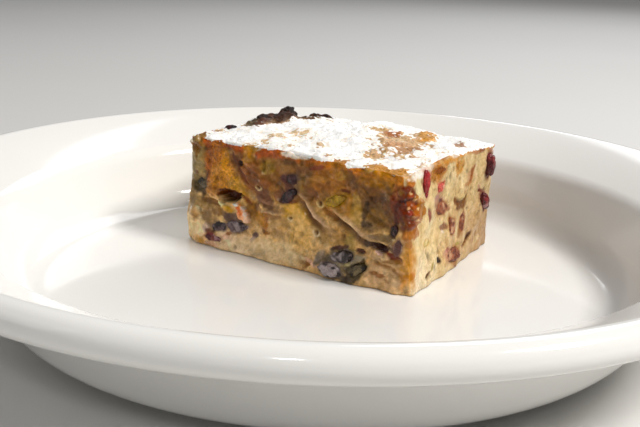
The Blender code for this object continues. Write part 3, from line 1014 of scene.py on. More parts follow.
SPOTS = (
    # Long side, broad zones of bread and custard.
    Patch(FRONT, -60.0, 30.0, 4.6, 9.0, "#A08C68", 0.85, wet=0.2, crumb=-0.2, edge=0.5),
    Patch(FRONT, -49.8, 31.5, 4.6, 8.5, "#BA7A30", 0.95, tilt=-4, rise=0.4, crumb=0.5),
    Patch(FRONT, -45.6, 27.0, 6.4, 5.4, "#CC923E", 0.95, tilt=-24, rise=0.3, crumb=0.4),
    Patch(FRONT, -37.8, 23.8, 5.6, 3.4, "#C99A40", 0.9, tilt=-32, crumb=0.2, edge=0.4),
    Patch(FRONT, -32.2, 17.0, 4.6, 2.6, "#A8742C", 0.85, tilt=-42, edge=0.4),
    Patch(FRONT, -43.8, 31.6, 5.2, 1.5, "#DCA24C", 0.9, tilt=-72, edge=0.5),
    Patch(FRONT, -53.4, 30.5, 9.0, 1.5, "#AC682C", 0.8, tilt=88, edge=0.5),
    Patch(FRONT, -34.6, 33.0, 7.6, 4.0, "#8C5A30", 0.9, tilt=-10, edge=0.5),
    Patch(FRONT, -30.5, 28.0, 6.0, 6.5, "#8E592E", 0.85, tilt=-30, edge=0.5),
    Patch(FRONT, -23.5, 31.5, 5.6, 4.6, "#98692C", 0.85, edge=0.5),
    Patch(FRONT, -4.0, 31.5, 10.0, 6.0, "#946A3C", 0.85, edge=0.5),
    Patch(FRONT, 4.0, 33.0, 8.0, 4.0, "#A66F34", 0.85, edge=0.5),
    Patch(FRONT, 9.5, 26.5, 6.0, 4.6, "#BC8B47", 0.9, tilt=10, edge=0.4),
    Patch(FRONT, 23.8, 27.8, 7.8, 7.2, "#7A5630", 0.95, rise=-0.3, wet=0.3, edge=0.35),
    Patch(FRONT, 21.8, 24.4, 4.6, 3.6, "#93703C", 0.75, tilt=12, wet=0.2, edge=0.5),
    Patch(FRONT, 17.4, 25.0, 5.0, 1.2, "#5E4838", 0.8, tilt=86, wet=0.4),
    Patch(FRONT, -12.5, 18.8, 7.0, 4.4, "#E6B962", 0.9, tilt=-8, wet=0.3, crumb=-0.3, edge=0.5),
    Patch(FRONT, -11.0, 10.5, 9.0, 7.0, "#E2B874", 0.85, crumb=-0.2, edge=0.6),
    Patch(FRONT, -20.5, 12.5, 5.0, 5.0, "#BE9864", 0.75, edge=0.6),
    Patch(FRONT, -0.5, 15.5, 5.0, 4.6, "#B38D52", 0.8, tilt=-30, edge=0.5),
    Patch(FRONT, 7.5, 15.5, 5.0, 3.4, "#B48B50", 0.85, tilt=-28, edge=0.5),
    Patch(FRONT, 10.8, 11.5, 2.4, 4.4, "#AF9150", 0.85, edge=0.4),
    # The next two patches: pale custard at the foot, painted lighter still as light thrown up by the plate.
    Patch(FRONT, -38.0, 3.2, 13.0, 3.6, "#F8D8AC", 0.9, crumb=-0.3, wet=0.3, edge=0.6),
    Patch(FRONT, -23.0, 4.6, 11.0, 4.4, "#F2CE9C", 0.85, crumb=-0.3, wet=0.2, edge=0.6),
    Patch(FRONT, 25.5, 6.0, 9.0, 6.4, "#D0AC80", 0.9, crumb=-0.4, wet=0.2, edge=0.5),
    # Left end: grey-olive strip, pale swollen foot painted lighter as light from the plate, with brown
    # stains.
    Patch(FRONT, -57.6, 21.0, 3.6, 2.4, "#5E5048", 0.85, tilt=8, wet=0.3, edge=0.5),
    Patch(FRONT, -59.6, 26.4, 1.1, 0.9, "#7A4218", 0.8),
    Patch(FRONT, -60.0, 36.4, 2.4, 1.3, "#7A4630", 0.85, tilt=-10, rise=-0.3),
    Patch(FRONT, -61.6, 38.2, 1.9, 0.9, "#F0E6D4", 0.9, tilt=18, rise=0.8, wet=0.6, edge=0.2),
    Patch(FRONT, -59.4, 6.4, 5.0, 6.4, "#FBDCAA", 0.95, wet=0.3, crumb=-0.4, edge=0.45),
    Patch(FRONT, -58.8, 10.4, 1.5, 2.4, "#B4803C", 0.75, tilt=20, edge=0.9),
    Patch(FRONT, -56.0, 15.6, 5.0, 2.4, "#AE8E58", 0.85, edge=0.4),
    # Painted highlight: a pale glinting line.
    Patch(FRONT, -56.6, 13.2, 2.4, 0.6, "#E6D4AC", 0.85, tilt=-24, rise=0.3, wet=0.2, edge=0.4),
    Patch(FRONT, -50.6, 18.4, 3.6, 0.5, "#DCB88E", 0.85, tilt=-20, rise=0.5, wet=0.3),
    Patch(FRONT, -51.5, 16.6, 4.8, 1.1, "#8A6238", 0.8, tilt=-6, rise=-0.4),
    Patch(FRONT, -51.6, 10.8, 3.6, 3.0, "#A8865A", 0.85, tilt=8),
    Patch(FRONT, -56.8, 1.4, 3.6, 1.1, "#B98638", 0.8, tilt=-4, edge=0.9),
    Patch(FRONT, -53.4, 6.2, 1.6, 1.8, "#D8BCA8", 0.8, tilt=30, rise=0.4, wet=0.3),
    Patch(FRONT, -51.4, 5.2, 2.2, 1.0, "#7A3A14", 0.9, tilt=-6),
    Patch(FRONT, -50.0, 0.9, 3.0, 0.8, "#C79A82", 0.7, wet=0.4),
    # Round the open hole.
    Patch(FRONT, -43.6, 21.9, 4.4, 0.8, "#5E2C10", 0.9, tilt=4, edge=0.4),
    Patch(FRONT, -46.4, 13.6, 5.4, 1.7, "#8E662E", 0.9, tilt=4, crumb=0.2, edge=0.5),
    Patch(FRONT, -39.4, 12.4, 5.8, 2.4, "#654A40", 0.9, tilt=10, edge=0.5),
    Patch(FRONT, -46.6, 16.4, 2.0, 0.8, "#E8DCA8", 0.95, tilt=-6, rise=0.8, edge=0.25, wet=0.3),
    Patch(FRONT, -43.0, 15.2, 3.0, 1.0, "#CFA03A", 0.9, tilt=-8, rise=0.5, edge=0.4, wet=0.3),
    Patch(FRONT, -36.5, 15.3, 4.6, 2.0, "#F6B078", 1.0, tilt=-40, rise=1.7, edge=0.2, wet=0.5, ragged=0.4),
    Patch(FRONT, -37.4, 15.6, 2.6, 0.9, "#E67A2C", 0.95, tilt=-38, edge=0.4, wet=0.4),
    # Painted highlights: cream glints on the orange chunk's upper edge and pale tips.
    Patch(FRONT, -39.2, 17.4, 1.4, 0.9, "#FFF4E4", 1.0, tilt=-14, rise=0.4, edge=0.25, wet=0.4),
    Patch(FRONT, -33.4, 13.0, 1.1, 1.0, "#FBD0B0", 0.95, tilt=-50, rise=0.3, edge=0.25, wet=0.4),
    Patch(FRONT, -35.6, 16.4, 1.3, 0.6, "#FFEAD6", 0.95, tilt=-34, rise=0.2, wet=0.4),
    Patch(FRONT, -33.9, 14.6, 0.9, 0.7, "#FFE4CC", 0.95, tilt=-60, rise=0.2, wet=0.4),
    Patch(FRONT, -55.0, 22.6, 4.6, 1.1, "#5A4326", 0.85, tilt=82, edge=0.6),
    Patch(FRONT, -35.0, 19.6, 2.8, 0.8, "#8E5016", 0.85, tilt=-24, rise=-0.4),
    Patch(FRONT, -29.6, 17.6, 3.0, 1.5, "#7C5428", 0.8, tilt=-60, rise=-0.4),
    # Brown soaked zone: torn crumbs, streaks and slits.
    Patch(FRONT, -39.2, 32.8, 4.6, 1.0, "#6A3A18", 0.85, tilt=-54, edge=0.4),
    Patch(FRONT, -33.4, 34.0, 3.4, 1.9, "#AB7446", 0.8, tilt=-8, rise=0.5),
    Patch(FRONT, -36.6, 28.8, 4.0, 1.0, "#7A431A", 0.85, tilt=-42, rise=-0.4),
    Patch(FRONT, -35.5, 31.0, 2.6, 1.0, "#A8703E", 0.7, tilt=-28, rise=0.4),
    # Painted shade in a small hole and a slit, and a painted highlight below the slit.
    Patch(FRONT, -37.6, 33.0, 1.3, 1.0, "#2E1408", 0.95, rise=-0.8, edge=0.25),
    Patch(FRONT, -26.3, 33.8, 0.6, 1.9, "#4E240C", 0.95, rise=-0.7),
    Patch(FRONT, -26.4, 31.2, 0.9, 0.7, "#E8C8A4", 0.8, rise=0.4, wet=0.7),
    Patch(FRONT, -24.0, 33.5, 3.2, 2.4, "#A48430", 0.7, crumb=0.3),
    Patch(FRONT, -25.0, 27.6, 3.2, 1.3, "#A5693C", 0.7, tilt=-12, rise=0.4),
    Patch(FRONT, -21.4, 26.4, 2.4, 1.2, "#A87838", 0.7, tilt=20, rise=0.3),
    Patch(FRONT, -27.2, 22.4, 4.2, 3.4, "#7E5440", 0.9, tilt=-30, rise=-0.4),
    Patch(FRONT, -24.4, 20.4, 3.2, 0.7, "#A67C64", 0.8, tilt=-8, rise=0.5, wet=0.4),
    Patch(FRONT, -25.0, 18.9, 2.6, 0.8, "#6E4A30", 0.85, tilt=-4, rise=-0.3),
    Patch(FRONT, -24.0, 17.3, 4.0, 0.6, "#D4B696", 0.9, tilt=10, rise=0.8, edge=0.4, wet=0.4),
    Patch(FRONT, -19.4, 24.2, 2.6, 2.2, "#8C5C3C", 0.8, tilt=40),
    # Painted highlight, pale pink.
    Patch(FRONT, -18.4, 22.3, 1.7, 0.6, "#E6C8B4", 0.9, tilt=-14, rise=0.7, wet=0.7),
    Patch(FRONT, -26.2, 12.4, 1.3, 4.2, "#A66E30", 0.85, tilt=6),
    Patch(FRONT, -28.6, 14.0, 1.6, 3.0, "#CB9648", 0.7, tilt=20),
    Patch(FRONT, -25.4, 9.6, 1.3, 0.9, "#96601F", 0.85),
    Patch(FRONT, -30.4, 7.7, 1.5, 1.1, "#6A4C52", 0.85, tilt=20),
    Patch(FRONT, -31.6, 6.2, 1.4, 0.8, "#A88A84", 0.7, tilt=50),
    Patch(FRONT, -43.0, 6.0, 1.7, 0.6, "#9C5E22", 0.9, tilt=8, rise=-0.3),
    Patch(FRONT, -43.6, 4.6, 2.2, 0.7, "#D9A88C", 0.7),
    Patch(FRONT, -21.6, 6.6, 2.4, 2.0, "#C79C56", 0.7),
    # Dark fruit's stains in the middle, and the crumbs around the golden one.
    Patch(FRONT, -15.0, 28.4, 2.2, 4.6, "#76483E", 0.9, tilt=14, edge=0.5),
    Patch(FRONT, -17.0, 30.6, 1.6, 1.4, "#6A3A4C", 0.85, wet=0.4),
    Patch(FRONT, -12.6, 29.4, 1.3, 2.4, "#7E4E48", 0.7, tilt=-20),
    Patch(FRONT, -15.0, 22.6, 3.6, 0.9, "#8A4C12", 0.85, tilt=8),
    Patch(FRONT, -9.5, 29.4, 2.8, 3.6, "#9A7842", 0.75, tilt=-30),
    Patch(FRONT, -8.0, 35.0, 3.6, 1.1, "#8A5C38", 0.7, tilt=6),
    Patch(FRONT, -2.4, 36.5, 3.4, 0.8, "#8A3E1C", 0.8, tilt=14),
    Patch(FRONT, -2.0, 32.8, 4.6, 1.2, "#B58440", 0.7, tilt=4, rise=0.3),
    Patch(FRONT, -5.0, 28.0, 3.2, 1.1, "#8E5E44", 0.7, tilt=-30, rise=-0.3),
    Patch(FRONT, 8.0, 35.4, 2.2, 1.7, "#C4AA66", 0.85, rise=0.6, wet=0.5, crumb=-0.3, edge=0.4),
    Patch(FRONT, 9.6, 30.2, 1.9, 0.6, "#6E3010", 0.9, tilt=-4, rise=-0.4),
    Patch(FRONT, 8.8, 28.6, 1.4, 0.9, "#C79A40", 0.8, tilt=10),
    Patch(FRONT, 12.6, 31.4, 2.6, 1.6, "#A07048", 0.7, tilt=-10, rise=0.3),
    Patch(FRONT, 14.0, 24.5, 2.0, 5.0, "#C4A062", 0.85, tilt=6),
    Patch(FRONT, 2.6, 22.0, 5.0, 1.3, "#A06A28", 0.75, tilt=-26, rise=-0.3),
    # Dark wet bread on the right, and the crevice under it.
    Patch(FRONT, 22.0, 34.8, 9.0, 2.0, "#74502E", 0.85, tilt=-2, edge=0.5),
    Patch(FRONT, 23.0, 38.2, 9.0, 0.9, "#C27818", 0.9, rise=0.3, wet=0.6, crumb=-0.3, edge=0.4),
    Patch(FRONT, 20.4, 33.4, 7.0, 1.6, "#8B5F3C", 0.8, tilt=-6),
    Patch(FRONT, 22.0, 29.6, 3.6, 1.3, "#684324", 0.8, tilt=8, rise=-0.4),
    Patch(FRONT, 27.4, 28.8, 3.0, 4.0, "#7B5336", 0.75, tilt=-14),
    Patch(FRONT, 27.4, 31.6, 2.0, 1.0, "#9A785C", 0.7, tilt=-16, rise=0.4, wet=0.5),
    Patch(FRONT, 30.6, 27.6, 5.6, 1.0, "#6E3026", 0.85, tilt=84, wet=0.4),
    Patch(FRONT, 18.4, 19.8, 3.0, 1.3, "#6A5642", 0.65, tilt=-34, edge=0.6),
    Patch(FRONT, 24.0, 17.4, 5.6, 1.3, "#8A6E4A", 0.8, tilt=2, wet=0.3),
    Patch(FRONT, 18.0, 14.4, 1.5, 1.3, "#433834", 0.9, wet=0.6),
    Patch(FRONT, 23.2, 14.0, 4.2, 1.6, "#421A12", 1.0, tilt=-10, rise=-1.3),
    Patch(FRONT, 27.8, 11.8, 3.4, 1.0, "#8A3A12", 1.0, tilt=-27, rise=-0.6, wet=0.4),
    Patch(FRONT, 28.6, 14.6, 2.2, 1.6, "#9C8468", 0.9, tilt=-20, rise=0.5, wet=0.5),
    # Painted highlight, pale pink.
    Patch(FRONT, 22.8, 12.2, 1.7, 0.7, "#E8C2B0", 0.95, tilt=-24, rise=0.7, wet=0.6, edge=0.25),
    Patch(FRONT, 24.0, 10.8, 1.2, 0.6, "#E8C69C", 0.9, tilt=-10, rise=0.5, wet=0.6),
    Patch(FRONT, 15.2, 11.2, 1.9, 1.1, "#5A2C1A", 0.95, tilt=-8, rise=-0.4),
    Patch(FRONT, 24.5, 9.0, 6.0, 0.8, "#B4854E", 0.75, tilt=14),
    Patch(FRONT, 22.0, 4.8, 3.4, 0.8, "#9C6530", 0.85, tilt=-8, rise=-0.4),
    Patch(FRONT, 25.0, 3.2, 1.4, 0.7, "#A6784C", 0.7, tilt=-20),
    Patch(FRONT, 32.4, 9.0, 8.0, 1.5, "#DD9E4E", 0.85, tilt=88, wet=0.4, crumb=-0.3, edge=0.6),
    Patch(FRONT, 32.2, 6.0, 1.5, 1.2, "#CC7A20", 0.9),
    Patch(FRONT, 29.6, 7.0, 2.4, 0.9, "#C08C58", 0.6, tilt=-8),
    # Folds of custard at the foot, and the bed of the base cluster.
    Patch(FRONT, -8.0, 3.0, 3.6, 0.8, "#8E5A26", 0.95, tilt=-10, rise=-0.7, edge=0.4),
    Patch(FRONT, -11.0, 4.4, 3.6, 0.7, "#F2D8AC", 0.9, tilt=-10, rise=0.7, wet=0.4),
    Patch(FRONT, -13.4, 2.4, 3.4, 1.8, "#E6C690", 0.85, edge=0.5),
    Patch(FRONT, -4.4, 3.4, 3.2, 0.8, "#D9AE90", 0.85, tilt=-20, rise=0.5, wet=0.6),
    Patch(FRONT, -1.6, 4.6, 2.0, 1.0, "#4A2A20", 0.9, tilt=34),
    Patch(FRONT, 7.4, 5.4, 8.8, 4.6, "#84745A", 0.85, tilt=10, rise=0.3, wet=0.5),
    Patch(FRONT, 12.8, 2.2, 4.2, 2.2, "#4E4226", 0.9, tilt=34, rise=0.3, wet=0.5),
    Patch(FRONT, -0.8, 6.8, 2.8, 1.5, "#A08C74", 0.85, tilt=48, wet=0.4),
    Patch(FRONT, 5.4, 10.2, 3.0, 0.6, "#4A3028", 0.9, tilt=12, wet=0.5),
    Patch(FRONT, 7.2, 10.9, 3.2, 0.7, "#704838", 0.9, tilt=12, wet=0.4),
    Patch(FRONT, 6.6, 5.0, 2.6, 0.9, "#A89878", 0.85, tilt=20, wet=0.5),
    Patch(FRONT, 10.8, 6.0, 1.5, 0.8, "#CDBE88", 0.9, rise=0.5, wet=0.6),
    Patch(FRONT, 14.6, 8.4, 3.2, 1.5, "#B8A588", 0.95, tilt=22, rise=0.8, wet=0.4, edge=0.35),
    Patch(FRONT, 12.4, 6.6, 1.6, 1.2, "#BCAC90", 0.9, tilt=50, rise=0.6, wet=0.4),
    Patch(FRONT, 8.4, 1.4, 4.4, 1.2, "#4A3826", 0.85, tilt=4, rise=-0.3),
    Patch(FRONT, 15.4, 6.8, 2.6, 0.8, "#5E4A2A", 0.85, tilt=64, rise=-0.4),
    # Long side, shades that lie over the spots above.
    Patch(FRONT, -51.6, 20.8, 3.8, 2.0, "#A87434", 0.85, tilt=-6, edge=0.5),
    Patch(FRONT, -61.0, 18.5, 2.6, 9.5, "#5E4A30", 0.5, edge=0.8),
    Patch(FRONT, -54.6, 12.0, 2.6, 3.4, "#8A6A40", 0.6, tilt=20, edge=0.7),
    Patch(FRONT, -21.6, 18.6, 4.6, 1.6, "#8A6440", 0.6, tilt=4, edge=0.6),
    Patch(FRONT, 15.6, 15.6, 2.6, 1.7, "#54391F", 0.75, tilt=-34, edge=0.6),
    Patch(FRONT, 20.6, 17.0, 3.2, 0.9, "#86705A", 0.7, tilt=-4, rise=0.4, edge=0.5),
    Patch(FRONT, 30.2, 32.4, 4.4, 1.2, "#8E4426", 0.8, tilt=84, wet=0.4, edge=0.6),
    Patch(FRONT, -22.0, 3.8, 13.0, 3.4, "#E2C698", 0.7, tilt=2, edge=0.6),
    # Long side: sugar that ran over the top edge.
    Patch(FRONT, -12.0, 39.4, 6.0, 1.0, "#F0E9DC", 0.9, edge=0.4, wet=-0.3),
    Patch(FRONT, -31.0, 39.2, 3.0, 0.8, "#EEE4D4", 0.85, edge=0.4, wet=-0.3),
    Patch(FRONT, -60.6, 38.4, 2.2, 0.9, "#F2EADC", 0.9, tilt=14, edge=0.4),
    Patch(FRONT, 20.4, 39.0, 2.4, 0.9, "#EEE4D0", 0.8, edge=0.4),
    # Short side: an amber band at the near upright edge, its own colour and partly a painted glow of light
    # through the custard, and caramelised lumps.
    Patch(RIGHT, 0.8, 10.5, 2.8, 10.0, "#CE9A4C", 0.85, wet=0.4, crumb=-0.4, edge=0.7),
    Patch(RIGHT, 0.6, 17.2, 1.6, 2.0, "#B07C54", 0.7, wet=0.4),
    Patch(RIGHT, 0.6, 6.4, 1.7, 1.1, "#C8861E", 0.9),
    Patch(RIGHT, 7.6, 34.0, 3.6, 2.8, "#EADDAE", 0.9, wet=0.3, edge=0.4),
    Patch(RIGHT, 1.8, 28.4, 3.8, 8.6, "#74300E", 0.95, wet=0.7, crumb=-0.4, edge=0.35),
    Patch(RIGHT, 7.6, 26.4, 4.4, 3.2, "#B67A1E", 0.92, rise=0.5, wet=0.5, crumb=-0.3),
    Patch(RIGHT, 7.8, 29.9, 3.6, 0.8, "#BE8A48", 0.85, tilt=-14, rise=0.4, wet=0.6),
    Patch(RIGHT, 6.4, 23.4, 3.2, 1.1, "#C08A64", 0.85, tilt=-8, rise=0.2, wet=0.6),
    Patch(RIGHT, 2.6, 19.6, 3.8, 1.9, "#B87A34", 0.85, rise=0.2, wet=0.4),
    Patch(RIGHT, 2.0, 36.4, 2.0, 1.4, "#C87F24", 0.95, rise=0.8, wet=0.8, edge=0.25, crumb=-0.4),
    Patch(RIGHT, 0.4, 35.0, 1.6, 1.2, "#8E3A0E", 0.95, rise=0.6, wet=0.8, crumb=-0.4),
    Patch(RIGHT, 1.8, 32.6, 1.4, 0.9, "#B25414", 0.9, rise=0.9, wet=0.9, edge=0.25, crumb=-0.4),
    Patch(RIGHT, 4.2, 31.6, 1.3, 0.9, "#C08A44", 0.9, rise=0.7, wet=0.9, edge=0.25, crumb=-0.4),
    Patch(RIGHT, 1.2, 30.4, 2.4, 0.8, "#4A1806", 0.95, tilt=-14, rise=-0.5, wet=0.8),
    Patch(RIGHT, 3.0, 28.6, 1.2, 0.8, "#BC6A22", 0.9, rise=0.9, wet=0.9, edge=0.25, crumb=-0.4),
    Patch(RIGHT, 0.8, 27.0, 1.2, 0.9, "#9E3C14", 0.9, rise=0.8, wet=0.9, edge=0.25, crumb=-0.4),
    Patch(RIGHT, 3.2, 25.4, 1.6, 0.9, "#B4743C", 0.85, rise=0.7, wet=0.9, edge=0.25, crumb=-0.4),
    Patch(RIGHT, 1.4, 23.0, 1.9, 1.3, "#8E4A1A", 0.9, rise=0.5, wet=0.7, edge=0.35),
    # Painted highlights: pale glints on the caramelised lumps.
    Patch(RIGHT, 1.4, 33.4, 0.6, 0.45, "#F4D8A8", 0.9, rise=0.3, wet=0.6, edge=0.4),
    Patch(RIGHT, 3.4, 31.0, 0.5, 0.4, "#F0CC96", 0.9, rise=0.3, wet=0.6, edge=0.4),
    Patch(RIGHT, 0.8, 28.6, 0.7, 0.4, "#EFC08C", 0.9, rise=0.3, wet=0.6, edge=0.4),
    Patch(RIGHT, 4.6, 28.0, 0.5, 0.4, "#F6DCB0", 0.9, rise=0.3, wet=0.6, edge=0.4),
    Patch(RIGHT, 2.4, 25.8, 0.6, 0.4, "#F2C896", 0.9, rise=0.3, wet=0.6, edge=0.4),
    Patch(RIGHT, 4.4, 24.2, 0.6, 0.4, "#F4D4A4", 0.9, rise=0.3, wet=0.6, edge=0.4),
    Patch(RIGHT, 2.0, 30.0, 1.8, 1.0, "#B4601C", 0.8, rise=0.4, wet=0.8, edge=0.4, crumb=-0.4),
    Patch(RIGHT, 3.6, 26.6, 1.6, 1.0, "#B8701F", 0.8, rise=0.4, wet=0.8, edge=0.4, crumb=-0.4),
    # Short side: sugar and crust over its top edge.
    Patch(RIGHT, 4.6, 38.0, 3.4, 1.3, "#F4EEE2", 0.95, edge=0.4, wet=-0.3),
    Patch(RIGHT, 11.0, 38.2, 4.4, 1.5, "#F6F0E6", 0.95, edge=0.4, wet=-0.3),
    Patch(RIGHT, 17.6, 38.9, 3.6, 1.1, "#F2EADC", 0.9, edge=0.4, wet=-0.3),
    Patch(RIGHT, 32.0, 39.4, 8.0, 1.1, "#D69C48", 0.85, tilt=2, rise=0.2, edge=0.4),
    Patch(RIGHT, 36.0, 40.4, 3.0, 0.7, "#F0E8DA", 0.8, edge=0.5),
    Patch(RIGHT, 55.0, 39.3, 6.4, 0.8, "#B8865E", 0.9, rise=0.3, edge=0.4),
    # Short side: browned bread under the top.
    Patch(RIGHT, 22.6, 36.4, 5.6, 3.0, "#BE8230", 0.88, crumb=0.3, edge=0.5),
    Patch(RIGHT, 23.6, 37.2, 3.2, 1.1, "#94541A", 0.85, rise=0.3, crumb=0.2),
    Patch(RIGHT, 40.0, 35.6, 4.2, 3.0, "#D4A255", 0.9, crumb=0.2, edge=0.4),
    Patch(RIGHT, 38.0, 36.4, 1.6, 1.4, "#BE8434", 0.7, tilt=40),
    Patch(RIGHT, 33.6, 36.0, 0.8, 1.3, "#A5814E", 0.8),
    Patch(RIGHT, 58.6, 39.0, 2.6, 0.7, "#96583C", 0.8, rise=0.3),
    # Short side: fruit stains, crumb streaks, the crescent and the cracks.
    Patch(RIGHT, 16.4, 37.0, 1.7, 1.2, "#D9A08C", 0.7, wet=0.5),
    Patch(RIGHT, 25.2, 32.6, 3.0, 0.7, "#D8705A", 0.8, wet=0.5),
    Patch(RIGHT, 22.6, 26.8, 4.4, 2.6, "#B58A74", 0.8, tilt=-10, wet=0.4, edge=0.5),
    Patch(RIGHT, 24.6, 26.2, 1.6, 1.2, "#6A2430", 0.9, rise=-0.2, wet=0.5),
    Patch(RIGHT, 20.8, 28.4, 2.0, 0.8, "#C49A92", 0.7, wet=0.5),
    Patch(RIGHT, 29.8, 22.6, 3.0, 1.1, "#A2684C", 0.8, tilt=-12),
    Patch(RIGHT, 14.8, 23.4, 1.1, 2.9, "#96564E", 0.9, tilt=-2, rise=-0.3, wet=0.4),
    Patch(RIGHT, 41.4, 21.4, 5.0, 2.2, "#86592C", 0.95, tilt=-2, rise=-0.3, edge=0.35),
    Patch(RIGHT, 37.8, 23.4, 2.2, 1.4, "#865628", 0.95, tilt=-40, rise=-0.4, edge=0.35),
    Patch(RIGHT, 45.4, 22.8, 1.9, 1.2, "#8C6030", 0.95, tilt=34, rise=-0.4, edge=0.35),
    Patch(RIGHT, 41.4, 24.3, 3.0, 0.9, "#D6C08C", 0.85, rise=0.5, edge=0.35),
    Patch(RIGHT, 26.6, 16.8, 3.4, 1.5, "#946648", 0.9, tilt=-8, rise=-0.3, edge=0.35),
    Patch(RIGHT, 24.6, 15.6, 1.6, 0.4, "#F2E2CC", 0.9, tilt=-20, rise=0.3, wet=0.7),
    Patch(RIGHT, 50.4, 31.0, 1.7, 3.4, "#AE6E38", 0.95, tilt=-14, rise=-0.2, edge=0.4),
    Patch(RIGHT, 47.6, 28.2, 3.0, 0.8, "#C08C54", 0.8, tilt=-4),
    Patch(RIGHT, 48.0, 31.0, 1.4, 2.0, "#D2AA84", 0.7, tilt=-14),
    Patch(RIGHT, 43.0, 14.8, 2.0, 3.2, "#8C5E44", 0.85, tilt=-34, edge=0.4),
    Patch(RIGHT, 40.2, 11.4, 1.2, 2.4, "#A27850", 0.8, tilt=-34),
    Patch(RIGHT, 49.0, 8.2, 3.1, 1.2, "#65401C", 1.0, tilt=20, rise=-0.5, edge=0.35),
    Patch(RIGHT, 44.6, 6.2, 3.0, 0.8, "#8A5E2C", 0.95, tilt=14, rise=-0.4),
    Patch(RIGHT, 52.6, 5.2, 3.6, 1.0, "#B48C62", 0.7, tilt=-16),
    Patch(RIGHT, 58.0, 4.4, 2.4, 1.2, "#DCC69C", 0.7, tilt=30),
    Patch(RIGHT, 14.8, 5.9, 1.7, 0.6, "#A49448", 0.85, tilt=52),
    Patch(RIGHT, 11.8, 3.7, 1.8, 0.6, "#6E4620", 0.95, tilt=24, rise=-0.5),
    Patch(RIGHT, 12.6, 14.2, 3.0, 1.4, "#C8A860", 0.8, rise=-0.2),
    Patch(RIGHT, 13.0, 14.3, 1.9, 0.8, "#EBDDAA", 0.9, rise=0.2),
    Patch(RIGHT, 37.4, 8.0, 1.4, 0.6, "#B8B060", 0.8),
    Patch(RIGHT, 28.8, 7.9, 1.5, 0.8, "#8A3A24", 0.9, tilt=-24),
    Patch(RIGHT, 30.6, 5.8, 4.6, 2.6, "#C48C7E", 0.7, tilt=-12, wet=0.3, edge=0.5),
    Patch(RIGHT, 34.2, 1.6, 1.3, 1.6, "#A8703E", 0.8),
    Patch(RIGHT, 59.0, 23.4, 2.0, 0.8, "#8A3A34", 0.9, tilt=-24),
    Patch(RIGHT, 57.4, 25.4, 2.2, 0.8, "#D2A88C", 0.7, tilt=-30, wet=0.4),
    Patch(RIGHT, 63.0, 20.4, 2.4, 1.0, "#D09AA0", 0.7, tilt=-50, wet=0.5),
    Patch(RIGHT, 65.0, 37.6, 2.4, 1.0, "#C09A90", 0.8, tilt=-30, rise=0.5, wet=0.4),
    # Baked top: browned and charred bread that the sugar leaves bare.
    Patch(TOP, -55.0, 44.0, 7.0, 15.0, "#38200F", 0.95, tilt=8, rise=1.1, wet=0.2, edge=0.5),
    Patch(TOP, -44.0, 53.0, 8.0, 9.0, "#6A4C34", 0.9, rise=0.8, edge=0.6),
    Patch(TOP, -46.0, 58.0, 6.0, 3.0, "#4A3222", 0.9, rise=0.5, edge=0.5),
    Patch(TOP, -49.0, 41.0, 4.0, 6.0, "#4A2C1C", 0.9, rise=0.5, edge=0.5),
    Patch(TOP, -50.0, 28.0, 2.4, 9.0, "#6A4230", 0.85, tilt=26, rise=0.5, edge=0.5),
    Patch(TOP, -56.0, 30.0, 2.6, 5.0, "#6E6450", 0.85, tilt=14, rise=0.4, edge=0.5),
    Patch(TOP, -34.0, 49.0, 5.0, 2.0, "#8E7A50", 0.85, tilt=-40),
    Patch(TOP, -60.0, 5.0, 2.4, 6.0, "#8A6428", 0.85, rise=0.3),
    Patch(TOP, -29.0, 20.0, 10.0, 11.0, "#D8C2A0", 0.9, edge=0.6),
    Patch(TOP, -35.0, 3.0, 3.4, 3.0, "#B98A3E", 0.85),
    Patch(TOP, -1.0, 44.0, 3.4, 3.4, "#A5652A", 0.85, rise=0.3),
    Patch(TOP, -9.0, 45.0, 4.0, 6.0, "#C6A878", 0.8, tilt=30),
    Patch(TOP, 10.0, 52.0, 3.0, 9.0, "#C9943E", 0.85, tilt=20, rise=0.4),
    Patch(TOP, 12.0, 28.0, 7.0, 8.0, "#B48A62", 0.75, edge=0.6),
    Patch(TOP, 20.0, 4.0, 9.0, 5.0, "#C08A2C", 0.85, edge=0.5),
    Patch(TOP, 2.5, 3.0, 4.0, 4.0, "#B8823A", 0.85, edge=0.5),
    Patch(TOP, 24.0, 54.0, 2.6, 4.6, "#A5826C", 0.8),
)

# The open hole in the long side, painted near black as shade, its browner floor, how deep it is and how far
# its cover reaches.
HOLE = Patch(FRONT, -42.6, 19.9, 5.1, 2.1, "#140B06", 1.0, tilt=7, ragged=0.35, edge=0.16)
HOLE_FLOOR = Patch(FRONT, -44.2, 19.8, 3.8, 1.7, "#7A401C", 0.9)
HOLE_DEPTH = 6.0
HOLE_REACH = 9.0

BUBBLES = (
    # Burst bubbles, painted shade inside and a wet lip painted pale with a highlight: side, along, up,
    # radius.
    (FRONT, -3.2, 14.0, 1.1),
    (FRONT, -0.8, 24.6, 1.1),
    (FRONT, -29.1, 25.5, 0.9),
    (FRONT, -15.0, 16.6, 0.8),
    (FRONT, 29.0, 18.4, 0.6),
    (RIGHT, 22.9, 20.4, 0.6),
    (RIGHT, 9.4, 10.4, 0.5),
    (BACK, -14.0, 16.0, 1.1),
    (LEFT, 40.0, 14.0, 1.0),
)
